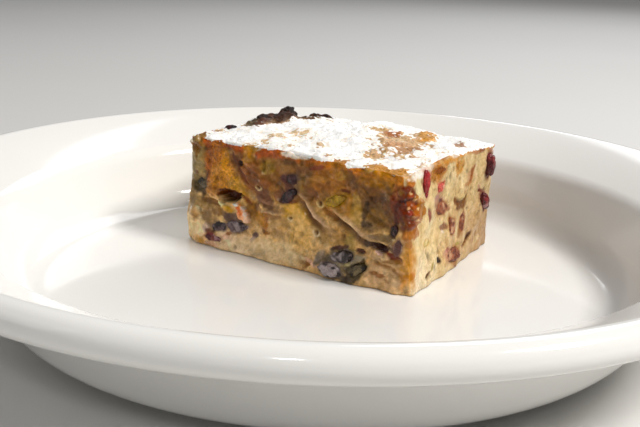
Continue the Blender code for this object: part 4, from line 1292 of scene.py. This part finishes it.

# Each fold's last two colours: the ridge's pale tone with its painted highlight, and the crease's painted
# shade.
FOLDS = (
    Fold(
        FRONT, ((-13.4, 26.4), (-9.4, 22.2), (-5.2, 18.4), (1.2, 15.4)), 1.2, 1.3, 1.8, "#E2C2B0", "#6A4018"
    ),
    Fold(FRONT, ((0.6, 22.6), (5.6, 21.2), (10.2, 18.8), (17.6, 14.0)), 1.2, 1.3, 1.8, "#DEC0A6", "#63401A"),
    Fold(FRONT, ((16.4, 15.8), (20.0, 15.2), (27.0, 15.6)), 0.8, 0.9, 0.9, "#C4A67E", "#4E2C18"),
    Fold(FRONT, ((-28.0, 16.6), (-23.0, 16.4), (-19.6, 17.4)), 0.6, 0.5, 0.8, "#D0AE88", "#A67C50"),
    Fold(FRONT, ((18.6, 9.4), (26.0, 8.2), (31.4, 6.4)), 0.5, 0.5, 0.8, "#DDB684", "#B08250"),
    Fold(BACK, ((-6.0, 14.0), (6.0, 20.0), (16.0, 19.0)), 0.9, 1.0, 1.3, "#D8B088", "#7E5224"),
    Fold(LEFT, ((26.0, 17.0), (38.0, 13.0), (47.0, 15.0)), 0.8, 1.0, 1.3, "#D8B088", "#7E5224"),
)

BARE = (
    # Where the sugar lies thin: x, y, half width on x and on y, how much is missing in millimetres.
    (-29.0, 22.0, 9.0, 9.0, 0.95),
    (-34.0, 13.0, 4.0, 6.0, 0.9),
    (-26.0, 8.0, 5.0, 5.0, 0.5),
    (-9.0, 46.0, 4.4, 7.0, 1.25),
    (-1.0, 44.0, 5.0, 8.0, 1.3),
    (7.0, 54.0, 4.0, 8.0, 1.15),
    (12.0, 47.0, 3.6, 10.0, 1.2),
    (5.0, 32.0, 5.0, 12.0, 1.15),
    (13.0, 31.0, 7.0, 9.0, 1.3),
    (18.0, 21.0, 5.0, 7.0, 1.1),
    (8.0, 16.0, 4.0, 8.0, 1.1),
    (10.0, 40.0, 9.0, 12.0, 0.5),
    (10.0, 13.0, 9.0, 8.0, 0.4),
    (2.5, 3.0, 3.4, 4.4, 1.7),
    (16.0, 4.0, 4.6, 5.0, 1.9),
    (24.0, 4.0, 4.6, 5.0, 1.6),
    (23.5, 53.0, 3.0, 4.4, 1.2),
    (21.0, 36.0, 4.0, 4.0, 0.9),
    (27.5, 17.0, 2.6, 8.0, 1.0),
    (27.0, 31.0, 2.6, 6.0, 0.7),
    (-13.0, 13.0, 2.4, 3.4, 1.0),
    (-8.5, 27.0, 2.0, 5.0, 0.9),
    (-4.0, 6.0, 2.0, 3.0, 1.2),
    (-35.0, 3.0, 3.2, 3.4, 1.5),
    (-21.0, 6.0, 3.0, 5.0, 0.7),
    (-55.0, 45.0, 8.0, 16.0, 2.2),
    (-44.0, 52.0, 8.0, 9.0, 1.5),
    (-49.0, 41.0, 5.0, 7.0, 1.4),
    (-34.0, 48.5, 6.0, 2.6, 1.0),
    (-50.0, 28.0, 2.8, 9.0, 1.2),
    (-56.0, 29.0, 3.4, 5.0, 1.2),
    (-60.0, 16.0, 2.6, 5.0, 1.3),
    (-60.0, 4.0, 3.0, 5.0, 1.6),
    (-54.0, 13.0, 2.2, 4.0, 0.9),
    (-24.0, 60.0, 4.0, 3.0, 0.7),
)


EDGE_SLOPE = 0.35  # share of the top's relief gained with each millimetre in from its edges


def sugar_depth(points: Array, margin: Array) -> Array:
    """Depth of the sugar in millimetres, below 0 where the crust is bare.

    An even dusting, plus drifts of noise at three sizes, less each bare place's bell.

    Args:
        points: places on the slab, (n, 3).
        margin: how far each is inside the top's edges.

    Returns:
        One depth for each place.
    """
    plan = points * np.array([1.0, 1.0, 0.0])
    depth = 0.4 + 0.16 * marbled(plan, 5.0, 31, 2) + 0.26 * marbled(plan, 1.9, 32, 2)
    depth += 0.13 * noise(plan, 0.8, 33)
    depth -= 0.6 * (1 - ramp(margin, 0.0, 1.6))
    for x, y, half_x, half_y, missing in BARE:
        depth -= missing * bell(np.hypot((plan[:, 0] - x) / half_x, (plan[:, 1] - y) / half_y) / 1.5)
    return depth


def crust_rise(points: Array) -> Array:
    """Relief of the baked top: torn bread at 7 mm, its crags at 3 mm and blisters at 1 mm."""
    plan = points * np.array([1.0, 1.0, 0.0])
    torn = fractal(plan, 7.0, 41, 2)
    crags = np.abs(marbled(plan, 3.0, 42, 2))
    return 0.45 * torn + 0.4 * crags - 0.2 + 0.08 * noise(plan, 1.0, 43)


class FruitKind(IntEnum):
    """The kinds of dried fruit, by the first word of their nodes' names."""

    RAISIN = 0
    PRUNE = 1
    BURNT = 2
    CRANBERRY = 3
    SULTANA = 4


RAISIN = FruitSkin("raisin_skin", "#140606", "#40191A", "#745050", 0.18, "#5C3628")
VEILED = FruitSkin("custard_veiled_raisin_skin", "#2A2218", "#5E5038", "#847250", 0.35, "#6A5836")
PLUMPED = FruitSkin(
    "plumped_raisin_skin", "#64301E", "#985A3A", "#C09470", 0.3, "#B08050", roughness=0.36, subsurface=0.3
)
PRUNE = FruitSkin("prune_skin", "#38302E", "#7E7070", "#AE9E9C", 0.6, "#75654E", roughness=0.22)
BURNT = FruitSkin("burnt_raisin_skin", "#180C06", "#45220F", "#6E4A32", 0.2, "#4A2A18", roughness=0.6)
CRANBERRY = FruitSkin(
    "cranberry_skin", "#7C1016", "#A8282A", "#DE9484", 0.15, "#C89070", roughness=0.2, subsurface=0.35
)
STEWED = FruitSkin(
    "stewed_cranberry_skin", "#4E181A", "#7E3030", "#B48A8A", 0.25, "#A06A4C", roughness=0.26, subsurface=0.25
)
SODDEN = FruitSkin("sodden_raisin_skin", "#241A1C", "#6E5C60", "#988888", 0.35, "#7C6452", roughness=0.2)
SOFTENED = FruitSkin(
    "softened_raisin_skin", "#64403A", "#A07C6C", "#C4A48E", 0.4, "#8A6250", roughness=0.3, subsurface=0.3
)
FADED = FruitSkin(
    "faded_cranberry_skin", "#9A2A26", "#C45848", "#E0A08C", 0.25, "#C89474", roughness=0.26, subsurface=0.35
)
SULTANA = FruitSkin(
    "sultana_skin", "#9A7414", "#C09A26", "#D0B45C", 0.2, "#A07C38", roughness=0.3, subsurface=0.35
)
FRUIT_FINISHES = {
    FruitKind.RAISIN: RAISIN,
    FruitKind.PRUNE: PRUNE,
    FruitKind.BURNT: BURNT,
    FruitKind.CRANBERRY: STEWED,
    FruitKind.SULTANA: SULTANA,
}
OWN_FINISHES = {
    "raisin_left_edge": VEILED,
    "raisin_short_small": BURNT,
    "cranberry_top_near": CRANBERRY,
    "cranberry_bit": FADED,
    "raisin_short_mid": PLUMPED,
    "raisin_short_thin": PLUMPED,
    "raisin_short_brown": PLUMPED,
    "cranberry_base_short": PLUMPED,
    "raisin_base_mid": PRUNE,
    "raisin_low_wide": SODDEN,
    "raisin_low_left": SODDEN,
    "raisin_base_right": VEILED,
    "raisin_near_edge": SOFTENED,
}
BED_REACH = 2.2  # how far from a fruit's middle its bed is worked out, in radii
APART = 31.0  # moves each fruit's noise away from the others', in millimetres
UNCUT = 9.0  # far past the cut: the knife takes nothing off
STANDS_PROUD = {
    # How far past the cut a fruit may bulge, in millimetres; the rest are cut nearly flush.
    "raisin_left_edge": -0.3,
    "prune_base": 1.5,
    "raisin_base_right": 1.3,
    "raisin_base_mid": 1.0,
    "cranberry_top_near": 0.7,
    "cranberry_far": 1.6,
    "cranberry_top_far": 1.6,
    "cranberry_base_short": 0.8,
    "burnt_fruit_back": UNCUT,
    "burnt_fruit_edge": UNCUT,
    "burnt_fruit_end": UNCUT,
    "raisin_top_small": UNCUT,
}


@dataclass
class DriedFruit:
    """One dried fruit, a creased ovoid in the place and the size of its solid."""

    node: str
    number: int
    rings: int = 44
    segments: int = 56
    flush: float = 0.1
    kind: FruitKind = field(init=False)
    centre: Array = field(init=False)
    axes: Array = field(init=False)
    halves: Array = field(init=False)

    def __post_init__(self) -> None:
        """Read the solid: its middle, and its main axes and half lengths from its corners' spread."""
        self.kind = FruitKind[self.node.split("_")[0].upper()]
        corners = np.array([vertex.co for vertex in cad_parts[self.node].data.vertices]) / MM
        corners = np.unique(np.round(corners, 3), axis=0)
        corners[:, 2] -= BASE_UP
        self.centre = (corners.min(axis=0) + corners.max(axis=0)) / 2
        away = corners - corners.mean(axis=0)
        self.axes = np.linalg.eigh(away.T @ away)[1][:, ::-1].copy()
        self.axes[:, 2] *= np.sign(np.linalg.det(self.axes))
        self.halves = np.abs(away @ self.axes).max(axis=0)

    @property
    def finish(self) -> FruitSkin:
        """Its own finish, or its kind's."""
        return OWN_FINISHES.get(self.node, FRUIT_FINISHES[self.kind])

    def local(self, points: Array) -> Array:
        """Points in the fruit's own axes, in millimetres, moved apart from every other fruit's."""
        return (points - self.centre) @ self.axes + APART * self.number

    def radius(self, ball: Array) -> Array:
        """How far out the skin lies in each direction, in half lengths: dents, lobes and creases."""
        place = ball * self.halves + APART * self.number
        rough = 1.5 if self.kind == FruitKind.BURNT else 1.0
        creases = bell(marbled(place * np.array([0.45, 1.0, 1.0]), 1.7, 51, 1) / 0.3)
        lobes = 0.17 * noise(place, 3.4, 52) + 0.1 * noise(place, 1.5, 53)
        return 1.0 + rough * (lobes - 0.15 * creases + 0.03 * noise(place, 0.6, 54))

    def nearness(self, points: Array) -> Array:
        """Distance of points from the middle, in radii: 1 is the fruit's skin."""
        scaled = (points - self.centre) @ self.axes / self.halves
        length = np.linalg.norm(scaled, axis=1)
        near = length < BED_REACH
        found = length.copy()
        found[near] /= self.radius(scaled[near] / np.maximum(length[near], 1e-6)[:, None])
        return found

    def surface(self, out: Array, level: float) -> Array:
        """The ovoid's grid, cut back by the knife where it passes the slab's cut.

        Args:
            out: the slab's outward normal beside it.
            level: how far out along that normal the cut surface lies.

        Returns:
            Points, ring by ring, with both poles last.
        """
        theta = np.linspace(0, np.pi, self.rings + 1)[1:-1, None]
        phi = np.linspace(0, 2 * np.pi, self.segments, endpoint=False)[None]
        ball = np.stack(
            [np.cos(theta) + 0 * phi, np.sin(theta) * np.cos(phi), np.sin(theta) * np.sin(phi)], axis=-1
        ).reshape(-1, 3)
        ball = np.vstack([ball, [[1.0, 0.0, 0.0], [-1.0, 0.0, 0.0]]])
        radius = self.radius(ball)
        points = self.centre + (ball * self.halves * radius[:, None]) @ self.axes.T
        place = self.local(points)
        wavy = 0.45 * marbled(place, 2.0, 55, 2)
        over = points @ out - level - STANDS_PROUD.get(self.node, self.flush) - wavy
        return points - 0.85 * np.maximum(over, 0.0)[:, None] * out

    def build(self, out: Array, level: float, material: bpy.types.Material) -> None:
        """Make the mesh and hide the solid that it stands for.

        Args:
            out: the slab's outward normal beside it.
            level: how far out along that normal the cut surface lies.
            material: its finish.
        """
        points = self.surface(out, level)
        index = np.arange((self.rings - 1) * self.segments).reshape(self.rings - 1, -1)
        index = np.hstack([index, index[:, :1]])
        first, last = len(points) - 2, len(points) - 1
        caps = [
            np.stack([np.full(self.segments, first), index[0, :-1], index[0, 1:]], axis=1),
            np.stack([np.full(self.segments, last), index[-1, 1:], index[-1, :-1]], axis=1),
        ]
        tint = self.finish.tint(self.local(points))
        points[:, 2] += BASE_UP
        piece = make_piece(self.node + "_skin", points, [grid_quads(index), *caps], material)
        add_values(piece, "tint", tint)
        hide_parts(self.node)


@dataclass
class Pudding:
    """The slab's own looks: bread in custard, its crust, folds, holes and beds for the fruit."""

    skin: Skin
    fruit: list
    finish: SoakedBread = SoakedBread()
    pits: int = 150
    bed_depth: float = 0.3
    contrast: float = 1.085
    brightest: float = 0.86

    def lay_bread(self) -> None:
        """Base colours: pale custard below, browner soaked bread above, lumps with dark seams, and painted
        shade on the short side's far low part.
        """
        skin = self.skin
        points, up, region = skin.points, skin.points[:, 2], skin.region
        short = (region == Side.RIGHT) | (region == Side.LEFT)
        skin.tint = mix(linear("#E3BC84"), linear("#E4CE9F"), short[:, None])
        skin.paint("#F2D8A8", ramp(marbled(points, 8.0, 61), 0.0, 0.9) * 0.6)
        skin.paint("#C49A62", ramp(-marbled(points, 6.0, 60), 0.2, 0.9) * np.where(short, 0.3, 0.5))
        shear = np.stack([points[:, 0] / 5, (points[:, 1] - 0.2 * up) / 2.0, up / 12], axis=1)
        streak = marbled(shear, 1.0, 62, 2)
        skin.paint("#D2B284", short * ramp(streak, 0.1, 0.9) * 0.5)
        skin.paint("#F2E6C4", short * ramp(-streak, 0.2, 0.9) * 0.45)
        right = region == Side.RIGHT
        # Painted shade: the short side darker towards its far end, most of all low down, where the light
        # falls off.
        shadowed = ramp(points[:, 1], 18.0, 66.0) * (1.25 - ramp(up, 8.0, 28.0))
        skin.paint("#B08A62", right * shadowed * 0.62)
        near_foot = (1 - ramp(points[:, 1], 4.0, 22.0)) * (1 - ramp(up, 6.0, 16.0))
        skin.paint("#EFE2C8", right * near_foot * 0.7)
        number, border = chunks(points + 2.0 * noise(points, 6.0, 63)[:, None], (17.0, 17.0, 12.0), 64)
        skin.paint("#BE8F55", ramp(number, 0.5, 1.0) * np.where(short, 0.2, 0.4))
        skin.crumb = 0.2 + 0.4 * ramp(number, 0.45, 0.6)
        soaked = ramp(up + 4.0 * noise(points, 8.0, 65), 18.0, 27.0) * ~short
        skin.paint("#8C6236", soaked * 0.85)
        skin.paint("#A27442", soaked * ramp(marbled(points, 4.0, 70), 0.1, 0.8) * 0.6)
        skin.paint("#66421F", soaked * ramp(-marbled(points, 3.0, 78), 0.25, 0.9) * 0.6)
        seam = bell(border / 0.1) * ramp(noise(points, 7.0, 66), -0.1, 0.5)
        seam *= (region != Side.TOP) * np.where(short, 0.15, 1.0)
        skin.paint("#855628", seam * 0.6)
        calm = np.where(short, 0.35, 1.0)
        skin.rise += calm * (0.55 * marbled(points, 5.0, 67, 2) - 0.5 * seam)
        skin.rise += calm * 0.22 * marbled(points, 1.8, 68, 2) * (0.5 + skin.crumb)
        skin.wet = 0.3 + 0.5 * ramp(marbled(points, 3.0, 69, 2), -0.2, 0.8)

    def add_flow(self) -> None:
        """Drawn-out streaks of custard on the cut sides, lighter and darker, in slanting strands."""
        skin = self.skin
        points, up, region = skin.points, skin.points[:, 2], skin.region
        long = (region == Side.FRONT) | (region == Side.BACK)
        run = points[:, 0]
        lean = np.radians(-32.0)
        strand = np.stack(
            [
                (run * math.cos(lean) + up * math.sin(lean)) / 5.0,
                points[:, 1] / 4.0,
                (up * math.cos(lean) - run * math.sin(lean)) / 1.3,
            ],
            axis=1,
        )
        pull = marbled(strand, 1.0, 91, 2)
        skin.tint *= 1 + (long * 0.2 * ramp(pull, 0.2, 0.9))[:, None]
        skin.tint *= 1 - (long * 0.24 * ramp(-pull, 0.2, 0.9))[:, None]
        skin.rise += long * 0.15 * pull
        mottle = np.clip(marbled(points, 1.3, 92, 2), -0.8, 0.8) * np.where(long, 0.25, 0.07)
        skin.tint *= 1 + mottle[:, None]

    def lay_crust(self) -> None:
        """Browning: an uneven band under the top edge, thin on the short side, and the whole top."""
        skin = self.skin
        points, region = skin.points, skin.region
        side = region != Side.TOP
        thick = 2.6 + 1.5 * noise(points, 6.0, 71) + 0.9 * marbled(points, 1.8, 72, 2)
        thick = np.where(region == Side.RIGHT, 0.5 * thick - 1.0, thick)
        band = side * (1 - ramp(skin.below - thick, -0.8, 0.8))
        golden = ramp(points[:, 0] + 5.0 * noise(points, 5.0, 73), -34.0, 24.0)
        browned = mix(linear("#B0602A"), linear("#D48E2C"), golden[:, None])
        skin.tint = mix(skin.tint, browned, band[:, None])
        under = side * bell((skin.below - thick) / 1.0) * ramp(noise(points, 4.0, 74), -0.2, 0.7)
        skin.paint("#6E3814", under * 0.6)
        skin.rise += 0.6 * band * marbled(points, 2.0, 75, 2) - 0.3 * under
        top = ~side
        skin.paint("#C8A982", top * 1.0)
        skin.paint("#9E7854", top * ramp(marbled(points, 3.2, 76, 2), 0.1, 0.9) * 0.8)
        skin.paint("#E6D0B0", top * ramp(marbled(points, 2.0, 77, 2), 0.0, 0.8) * 0.8)
        margin = skin.slab.margin(points)
        inside = np.clip(EDGE_SLOPE * margin, 0, 1)
        skin.rise = np.where(top, inside * crust_rise(points), skin.rise)
        blisters = 0.35 * ramp(marbled(points, 1.5, 79, 2), 0.0, 0.8)
        skin.rise += top * inside * blisters * ramp(-sugar_depth(points, margin), -0.1, 0.2)
        skin.crumb = np.where(top, 0.9, skin.crumb)
        skin.wet = np.where(top, 0.15, skin.wet)

    def sink_pits(self) -> None:
        """Small round holes in the cut sides, at seeded places, with painted shade inside."""
        skin = self.skin
        draw = np.random.default_rng(7)
        cut = np.flatnonzero((skin.region != Side.TOP) & (skin.below > 3) & (skin.points[:, 2] > 1))
        for index in draw.choice(cut, self.pits):
            radius = draw.uniform(0.4, 1.1)
            stretch = np.array([1.0, 1.0, draw.uniform(0.5, 1.1)])
            away = np.linalg.norm((skin.points - skin.points[index]) * stretch, axis=1) / radius
            hole = bell(away / 1.3)
            skin.rise -= draw.uniform(0.25, 0.9) * hole
            # Painted shade: the tint darkened inside each hole.
            skin.tint *= 1 - (draw.uniform(0.2, 0.6) * hole)[:, None]

    def burst_bubbles(self) -> None:
        """Round craters with painted shade in the middle, each with a wet lip round it painted pale, its own
        colour and a painted highlight, most on its lower side.
        """
        skin = self.skin
        for side, along, up, radius in BUBBLES:
            away = skin.points - skin.slab.on_side(side, along, up)
            away = np.linalg.norm(away, axis=1) / radius
            away = away * (1 + 0.2 * noise(skin.points, 1.2, 93))
            crater = bell(away / 1.15)
            under = ramp(up + 0.3 * radius - skin.points[:, 2], -0.6 * radius, 0.8 * radius)
            lip = bell((away - 1.2) / 0.55) * mix(0.15, 1.0, under)
            skin.rise += 0.4 * lip - 0.9 * radius * crater
            # Painted shade in the crater and a painted highlight on the lip.
            skin.paint("#5A3418", crater * 0.9)
            skin.paint("#F2DCB8", lip * 0.8)
            skin.wet = np.clip(skin.wet + 0.5 * lip, 0, 1)

    def bed_fruit(self) -> None:
        """A ragged bed round each fruit in a cut side, stained by it, and the open hole with painted shade.
        """
        skin = self.skin
        for fruit in self.fruit:
            near = fruit.nearness(skin.points)
            close_by = near < BED_REACH
            torn = np.zeros(len(near))
            torn[close_by] = 0.2 * noise(skin.points[close_by], 2.0, 94)
            torn[close_by] += 0.1 * noise(skin.points[close_by], 0.9, 95)
            near = near + torn
            sunk = 0.0 if STANDS_PROUD.get(fruit.node, 0.0) == UNCUT else self.bed_depth
            skin.rise -= sunk * (1 - ramp(near, 0.88, 1.04))
            skin.paint(fruit.finish.bed, (1 - ramp(near, 1.0, 1.6)) * 0.6)
            skin.paint(fruit.finish.light, (1 - ramp(near, 0.96, 1.1)) * 0.8)
        cover = skin.cover(HOLE, depth=HOLE_REACH)
        # Painted shade: the hole's mouth near black, then its browner floor.
        skin.paint(HOLE.colour, cover)
        skin.paint(HOLE_FLOOR.colour, skin.cover(HOLE_FLOOR, depth=HOLE_REACH) * HOLE_FLOOR.strength)
        skin.rise -= HOLE_DEPTH * cover

    def dust(self) -> Array:
        """Share of sugar lying on the skin: thin between the drifts and clinging to the top's edge."""
        skin = self.skin
        depth = sugar_depth(skin.points, skin.slab.margin(skin.points) * (skin.region == Side.TOP))
        specks = 0.6 * noise(skin.points, 0.9, 96) + 0.5 * marbled(skin.points, 2.0, 97, 2)
        thin = ramp(depth + specks, -1.1, 0.15)
        clinging = ramp(depth + 0.45 - 0.7 * skin.below, -0.2, 0.4) * (skin.below < 2.0)
        return np.where(skin.region == Side.TOP, thin, clinging)

    def balance(self) -> None:
        """Last touch on the tints: more contrast, warmer browns high up, and the long sides' foot lightened
        as painted light thrown up by the plate.
        """
        skin = self.skin
        up = skin.points[:, 2]
        long = (skin.region == Side.FRONT) | (skin.region == Side.BACK)
        short = (skin.region == Side.RIGHT) | (skin.region == Side.LEFT)
        skin.tint = self.contrast * np.clip(skin.tint, 0, 1) ** self.contrast**2.5
        deep = 1 - ramp(skin.tint[:, 2], 0.25, 0.55)
        skin.tint[:, 2] *= 1 - 0.3 * deep * long * ramp(up, 14.0, 28.0)
        # Painted light: the long sides lightened at the foot, as if lit from the plate.
        foot = (long * (1 - ramp(up, 1.0, 10.0)))[:, None]
        skin.tint *= 1 + foot * np.array([0.1, 0.1, 0.16])
        skin.tint *= 1 - (long * (1 - ramp(up, 14.0, 24.0)))[:, None] * np.array([0.05, 0.0, -0.05])
        skin.tint *= np.where(short[:, None], np.array([0.8, 0.79, 0.79]), 1.0)
        skin.tint *= np.minimum(1.0, self.brightest / skin.tint.max(axis=1, initial=0.1))[:, None]

    def build(self) -> None:
        """Paint and shape the skin, then make its mesh."""
        skin = self.skin
        self.lay_bread()
        self.lay_crust()
        for patch in SPOTS:
            skin.add_patch(patch)
        self.add_flow()
        for fold in FOLDS:
            skin.add_fold(fold)
        self.sink_pits()
        self.burst_bubbles()
        self.bed_fruit()
        self.balance()
        points = skin.points + skin.normals * skin.rise[:, None]
        points[:, 2] = np.maximum(points[:, 2], 0.0) + BASE_UP
        piece = make_piece("pudding_slab", points, [skin.quads, skin.caps], self.finish.material())
        add_values(piece, "tint", np.clip(skin.tint, 0, 1))
        add_values(piece, "wet", skin.wet)
        add_values(piece, "crumb", skin.crumb)
        add_values(piece, "dust", self.dust())
        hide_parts("pudding")


@dataclass
class Dusting:
    """Icing sugar on the baked top: drifts that follow the crust, and loose clumps.

    Under is how far the sheet's own base and its bare parts lie below the crust, packing the share of
    the sugar's depth that stands above it, and a clump lies only where the sugar is deeper than its bed.
    """

    slab: Slab
    cells_long: int = 236
    cells_short: int = 170
    under: float = 0.35
    packing: float = 0.6
    deepest: float = 1.1
    clumps: int = 3600
    clump_bed: float = 0.05
    finish: IcingSugar = IcingSugar()

    def build(self) -> None:
        """Lay a closed sheet: the crust's surface raised by the sugar's depth, over one below it."""
        u = np.linspace(0.006, 0.994, self.cells_long + 1)
        v = np.linspace(0.008, 0.992, self.cells_short + 1)
        crust = self.slab.top_points(u, v)
        shape = crust.shape[:2]
        flat = crust.reshape(-1, 3)
        margin = self.slab.margin(flat)
        inside = np.clip(EDGE_SLOPE * margin, 0, 1)
        index = np.arange(len(flat)).reshape(shape)
        normals = vertex_normals(flat, grid_quads(index))
        flat = flat + normals * (inside * crust_rise(flat))[:, None]
        depth = np.clip(sugar_depth(flat, margin), -self.under, self.deepest)
        edge = np.ones(shape, bool)
        edge[1:-1, 1:-1] = False
        depth = np.where(edge.reshape(-1), -self.under, depth)
        top = flat + normals * np.where(depth > 0, self.packing * depth, depth)[:, None]
        bottom = flat[~edge.reshape(-1)] - normals[~edge.reshape(-1)] * 2 * self.under
        lower = np.where(edge, index, 0)
        lower[1:-1, 1:-1] = len(flat) + np.arange(len(bottom)).reshape(shape[0] - 2, -1)
        points = np.vstack([top, bottom])
        points[:, 2] += BASE_UP
        faces = [grid_quads(index), grid_quads(lower)[:, ::-1]]
        material = self.finish.material()
        sheet = make_piece("icing_sugar_dusting", points, faces, material)
        thin = 1 - ramp(depth, 0.0, 0.4)
        add_values(sheet, "thin", np.concatenate([thin, np.zeros(len(bottom))]))
        draw = np.random.default_rng(11)
        places = draw.choice(np.flatnonzero(depth > self.clump_bed), self.clumps)
        sizes = draw.gamma(3.0, 0.035, self.clumps) + 0.07
        clumps = make_piece("icing_sugar_clumps", *grains(points[places], sizes, draw), material)
        add_values(clumps, "thin", np.zeros(len(clumps.data.vertices)))


def grains(places: Array, sizes: Array, draw: np.random.Generator) -> tuple:
    """Angular grains: an icosahedron for each place, squeezed and with uneven corners.

    Args:
        places: (n, 3).
        sizes: their radii, (n,).
        draw: the seeded generator.

    Returns:
        The points and a list with the triangles.
    """
    ratio = (1 + math.sqrt(5)) / 2
    corners = np.array([(0, a, b * ratio) for a in (-1, 1) for b in (-1, 1)])
    corners = np.vstack([np.roll(corners, turn, axis=1) for turn in range(3)]) / math.hypot(1, ratio)
    apart = np.linalg.norm(corners[:, None] - corners[None], axis=2)
    touching = np.abs(apart - apart[apart > 0.1].min()) < 0.01
    triangles = [
        (a, b, c)
        for a in range(12)
        for b in range(a + 1, 12)
        for c in range(b + 1, 12)
        if touching[a, b] and touching[b, c] and touching[a, c]
    ]
    triangles = np.array(
        [t if np.linalg.det(corners[list(t)]) > 0 else (t[0], t[2], t[1]) for t in triangles]
    )
    count = len(places)
    turn = np.linalg.qr(draw.normal(size=(count, 3, 3)))[0]
    turn[:, :, 0] *= np.sign(np.linalg.det(turn))[:, None]
    shape = corners[None] * draw.uniform(0.6, 1.25, (count, 12, 1)) * draw.uniform(0.6, 1.2, (count, 1, 3))
    points = places[:, None] + (shape * sizes[:, None, None]) @ turn.transpose(0, 2, 1)
    faces = triangles[None] + 12 * np.arange(count)[:, None, None]
    return points.reshape(-1, 3), [faces.reshape(-1, 3)]


@dataclass
class Stage:
    """What isn't the part: a pale floor, soft studio lights and the camera.

    The lights' places, and the place that they are turned to, are in metres.
    """

    floor: str = "#DDDCDA"
    floor_shade: str = "#D6D5D2"
    floor_half: float = 9000.0
    eye: tuple = (157.0, -248.0, 115.3)
    target: tuple = (-43.0, 62.3, 8.0)
    roll: float = 1.8
    lens: float = 50.625
    world: float = 0.22
    lit: tuple = (-0.015, 0.03, 0.03)

    def lay_floor(self) -> None:
        """A pale matt floor under the foot."""
        material, tree, place = new_material("matt_studio_floor")
        drift = add(tree, "TexNoise", {"Vector": place, "Scale": per_mm(400.0)})
        tones = {0: drift.outputs["Fac"], 6: rgba(self.floor), 7: rgba(self.floor_shade)}
        tone = add(tree, "Mix", tones, data_type="RGBA")
        close(tree, {"Base Color": tone.outputs[2], "Roughness": 0.7})
        mesh = bpy.data.meshes.new("floor")
        half = self.floor_half * MM
        corners = [(-half, -half, 0), (half, -half, 0), (half, half, 0), (-half, half, 0)]
        mesh.from_pydata(corners, [], [(0, 1, 2, 3)])
        mesh.materials.append(material)
        floor = bpy.data.objects.new("floor", mesh)
        bpy.context.scene.collection.objects.link(floor)

    def hang_light(self, name: str, place: tuple, size: float, power: float, colour: str) -> None:
        """A soft square light at a place in metres, turned to the slab.

        Args:
            name: the light's name.
            place: where it hangs.
            size: the square's side in metres.
            power: in watts.
            colour: sRGB hex.
        """
        light = bpy.data.lights.new(name, "AREA")
        light.shape = "SQUARE"
        light.size = size
        light.energy = power
        light.color = linear(colour)
        lamp = bpy.data.objects.new(name, light)
        lamp.location = place
        beam = Vector(self.lit) - Vector(place)
        lamp.rotation_euler = beam.to_track_quat("-Z", "Y").to_euler()
        bpy.context.scene.collection.objects.link(lamp)

    def set_camera(self) -> None:
        """The camera, from its place, target and roll about the line of sight."""
        camera = bpy.data.cameras.new("camera")
        camera.lens = self.lens
        camera.sensor_width = 36.0
        camera.clip_start, camera.clip_end = 0.01, 100.0
        eye = bpy.data.objects.new("camera", camera)
        forward = (Vector(self.target) - Vector(self.eye)).normalized()
        level = forward.cross(Vector((0, 0, 1))).normalized()
        above = level.cross(forward)
        roll = math.radians(self.roll)
        right = level * math.cos(roll) + above * math.sin(roll)
        upward = above * math.cos(roll) - level * math.sin(roll)
        turn = Matrix((right, upward, -forward)).transposed().to_4x4()
        eye.matrix_world = Matrix.Translation(Vector(self.eye) * MM) @ turn
        bpy.context.scene.collection.objects.link(eye)
        bpy.context.scene.camera = eye

    def build(self) -> None:
        """Floor, lights, world and camera."""
        self.lay_floor()
        self.hang_light("key_light", (1.18, 0.26, 1.32), 0.45, 32.0, "#FFFCF8")
        self.hang_light("fill_light", (-1.3, -1.3, 0.8), 1.2, 3.2, "#FFFEFC")
        self.hang_light("glint_light", (0.5, -1.1, 1.0), 0.1, 2.0, "#FFFFFF")
        self.hang_light("back_light", (-0.3, 1.5, 1.2), 0.9, 8.0, "#F8FAFF")
        world = bpy.data.worlds.new("studio")
        world.use_nodes = True
        background = world.node_tree.nodes["Background"]
        background.inputs["Color"].default_value = rgba("#EDEDEE")
        background.inputs["Strength"].default_value = self.world
        bpy.context.scene.world = world
        self.set_camera()
        bpy.context.scene.view_settings.view_transform = "Standard"


def main() -> None:
    """Build the plate, the slab with its fruit and sugar, then the stage, in that order."""
    logging.basicConfig(level=logging.INFO, format="%(message)s")
    Plate().build()
    slab = Slab()
    skin = Skin(slab)
    kinds = FruitKind.__members__
    names = sorted(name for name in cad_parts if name.split("_")[0].upper() in kinds)
    fruit = [DriedFruit(name, number) for number, name in enumerate(names)]
    Pudding(skin, fruit).build()
    finishes = {one.finish.name: one.finish for one in fruit}
    skins = {name: finish.material() for name, finish in finishes.items()}
    for one in fruit:
        nearest = np.argmin(np.linalg.norm(skin.points - one.centre, axis=1))
        out = skin.normals[nearest]
        level = skin.points[nearest] @ out
        one.build(out, level, skins[one.finish.name])
    Dusting(slab).build()
    Stage().build()


if __name__ == "__main__":
    main()
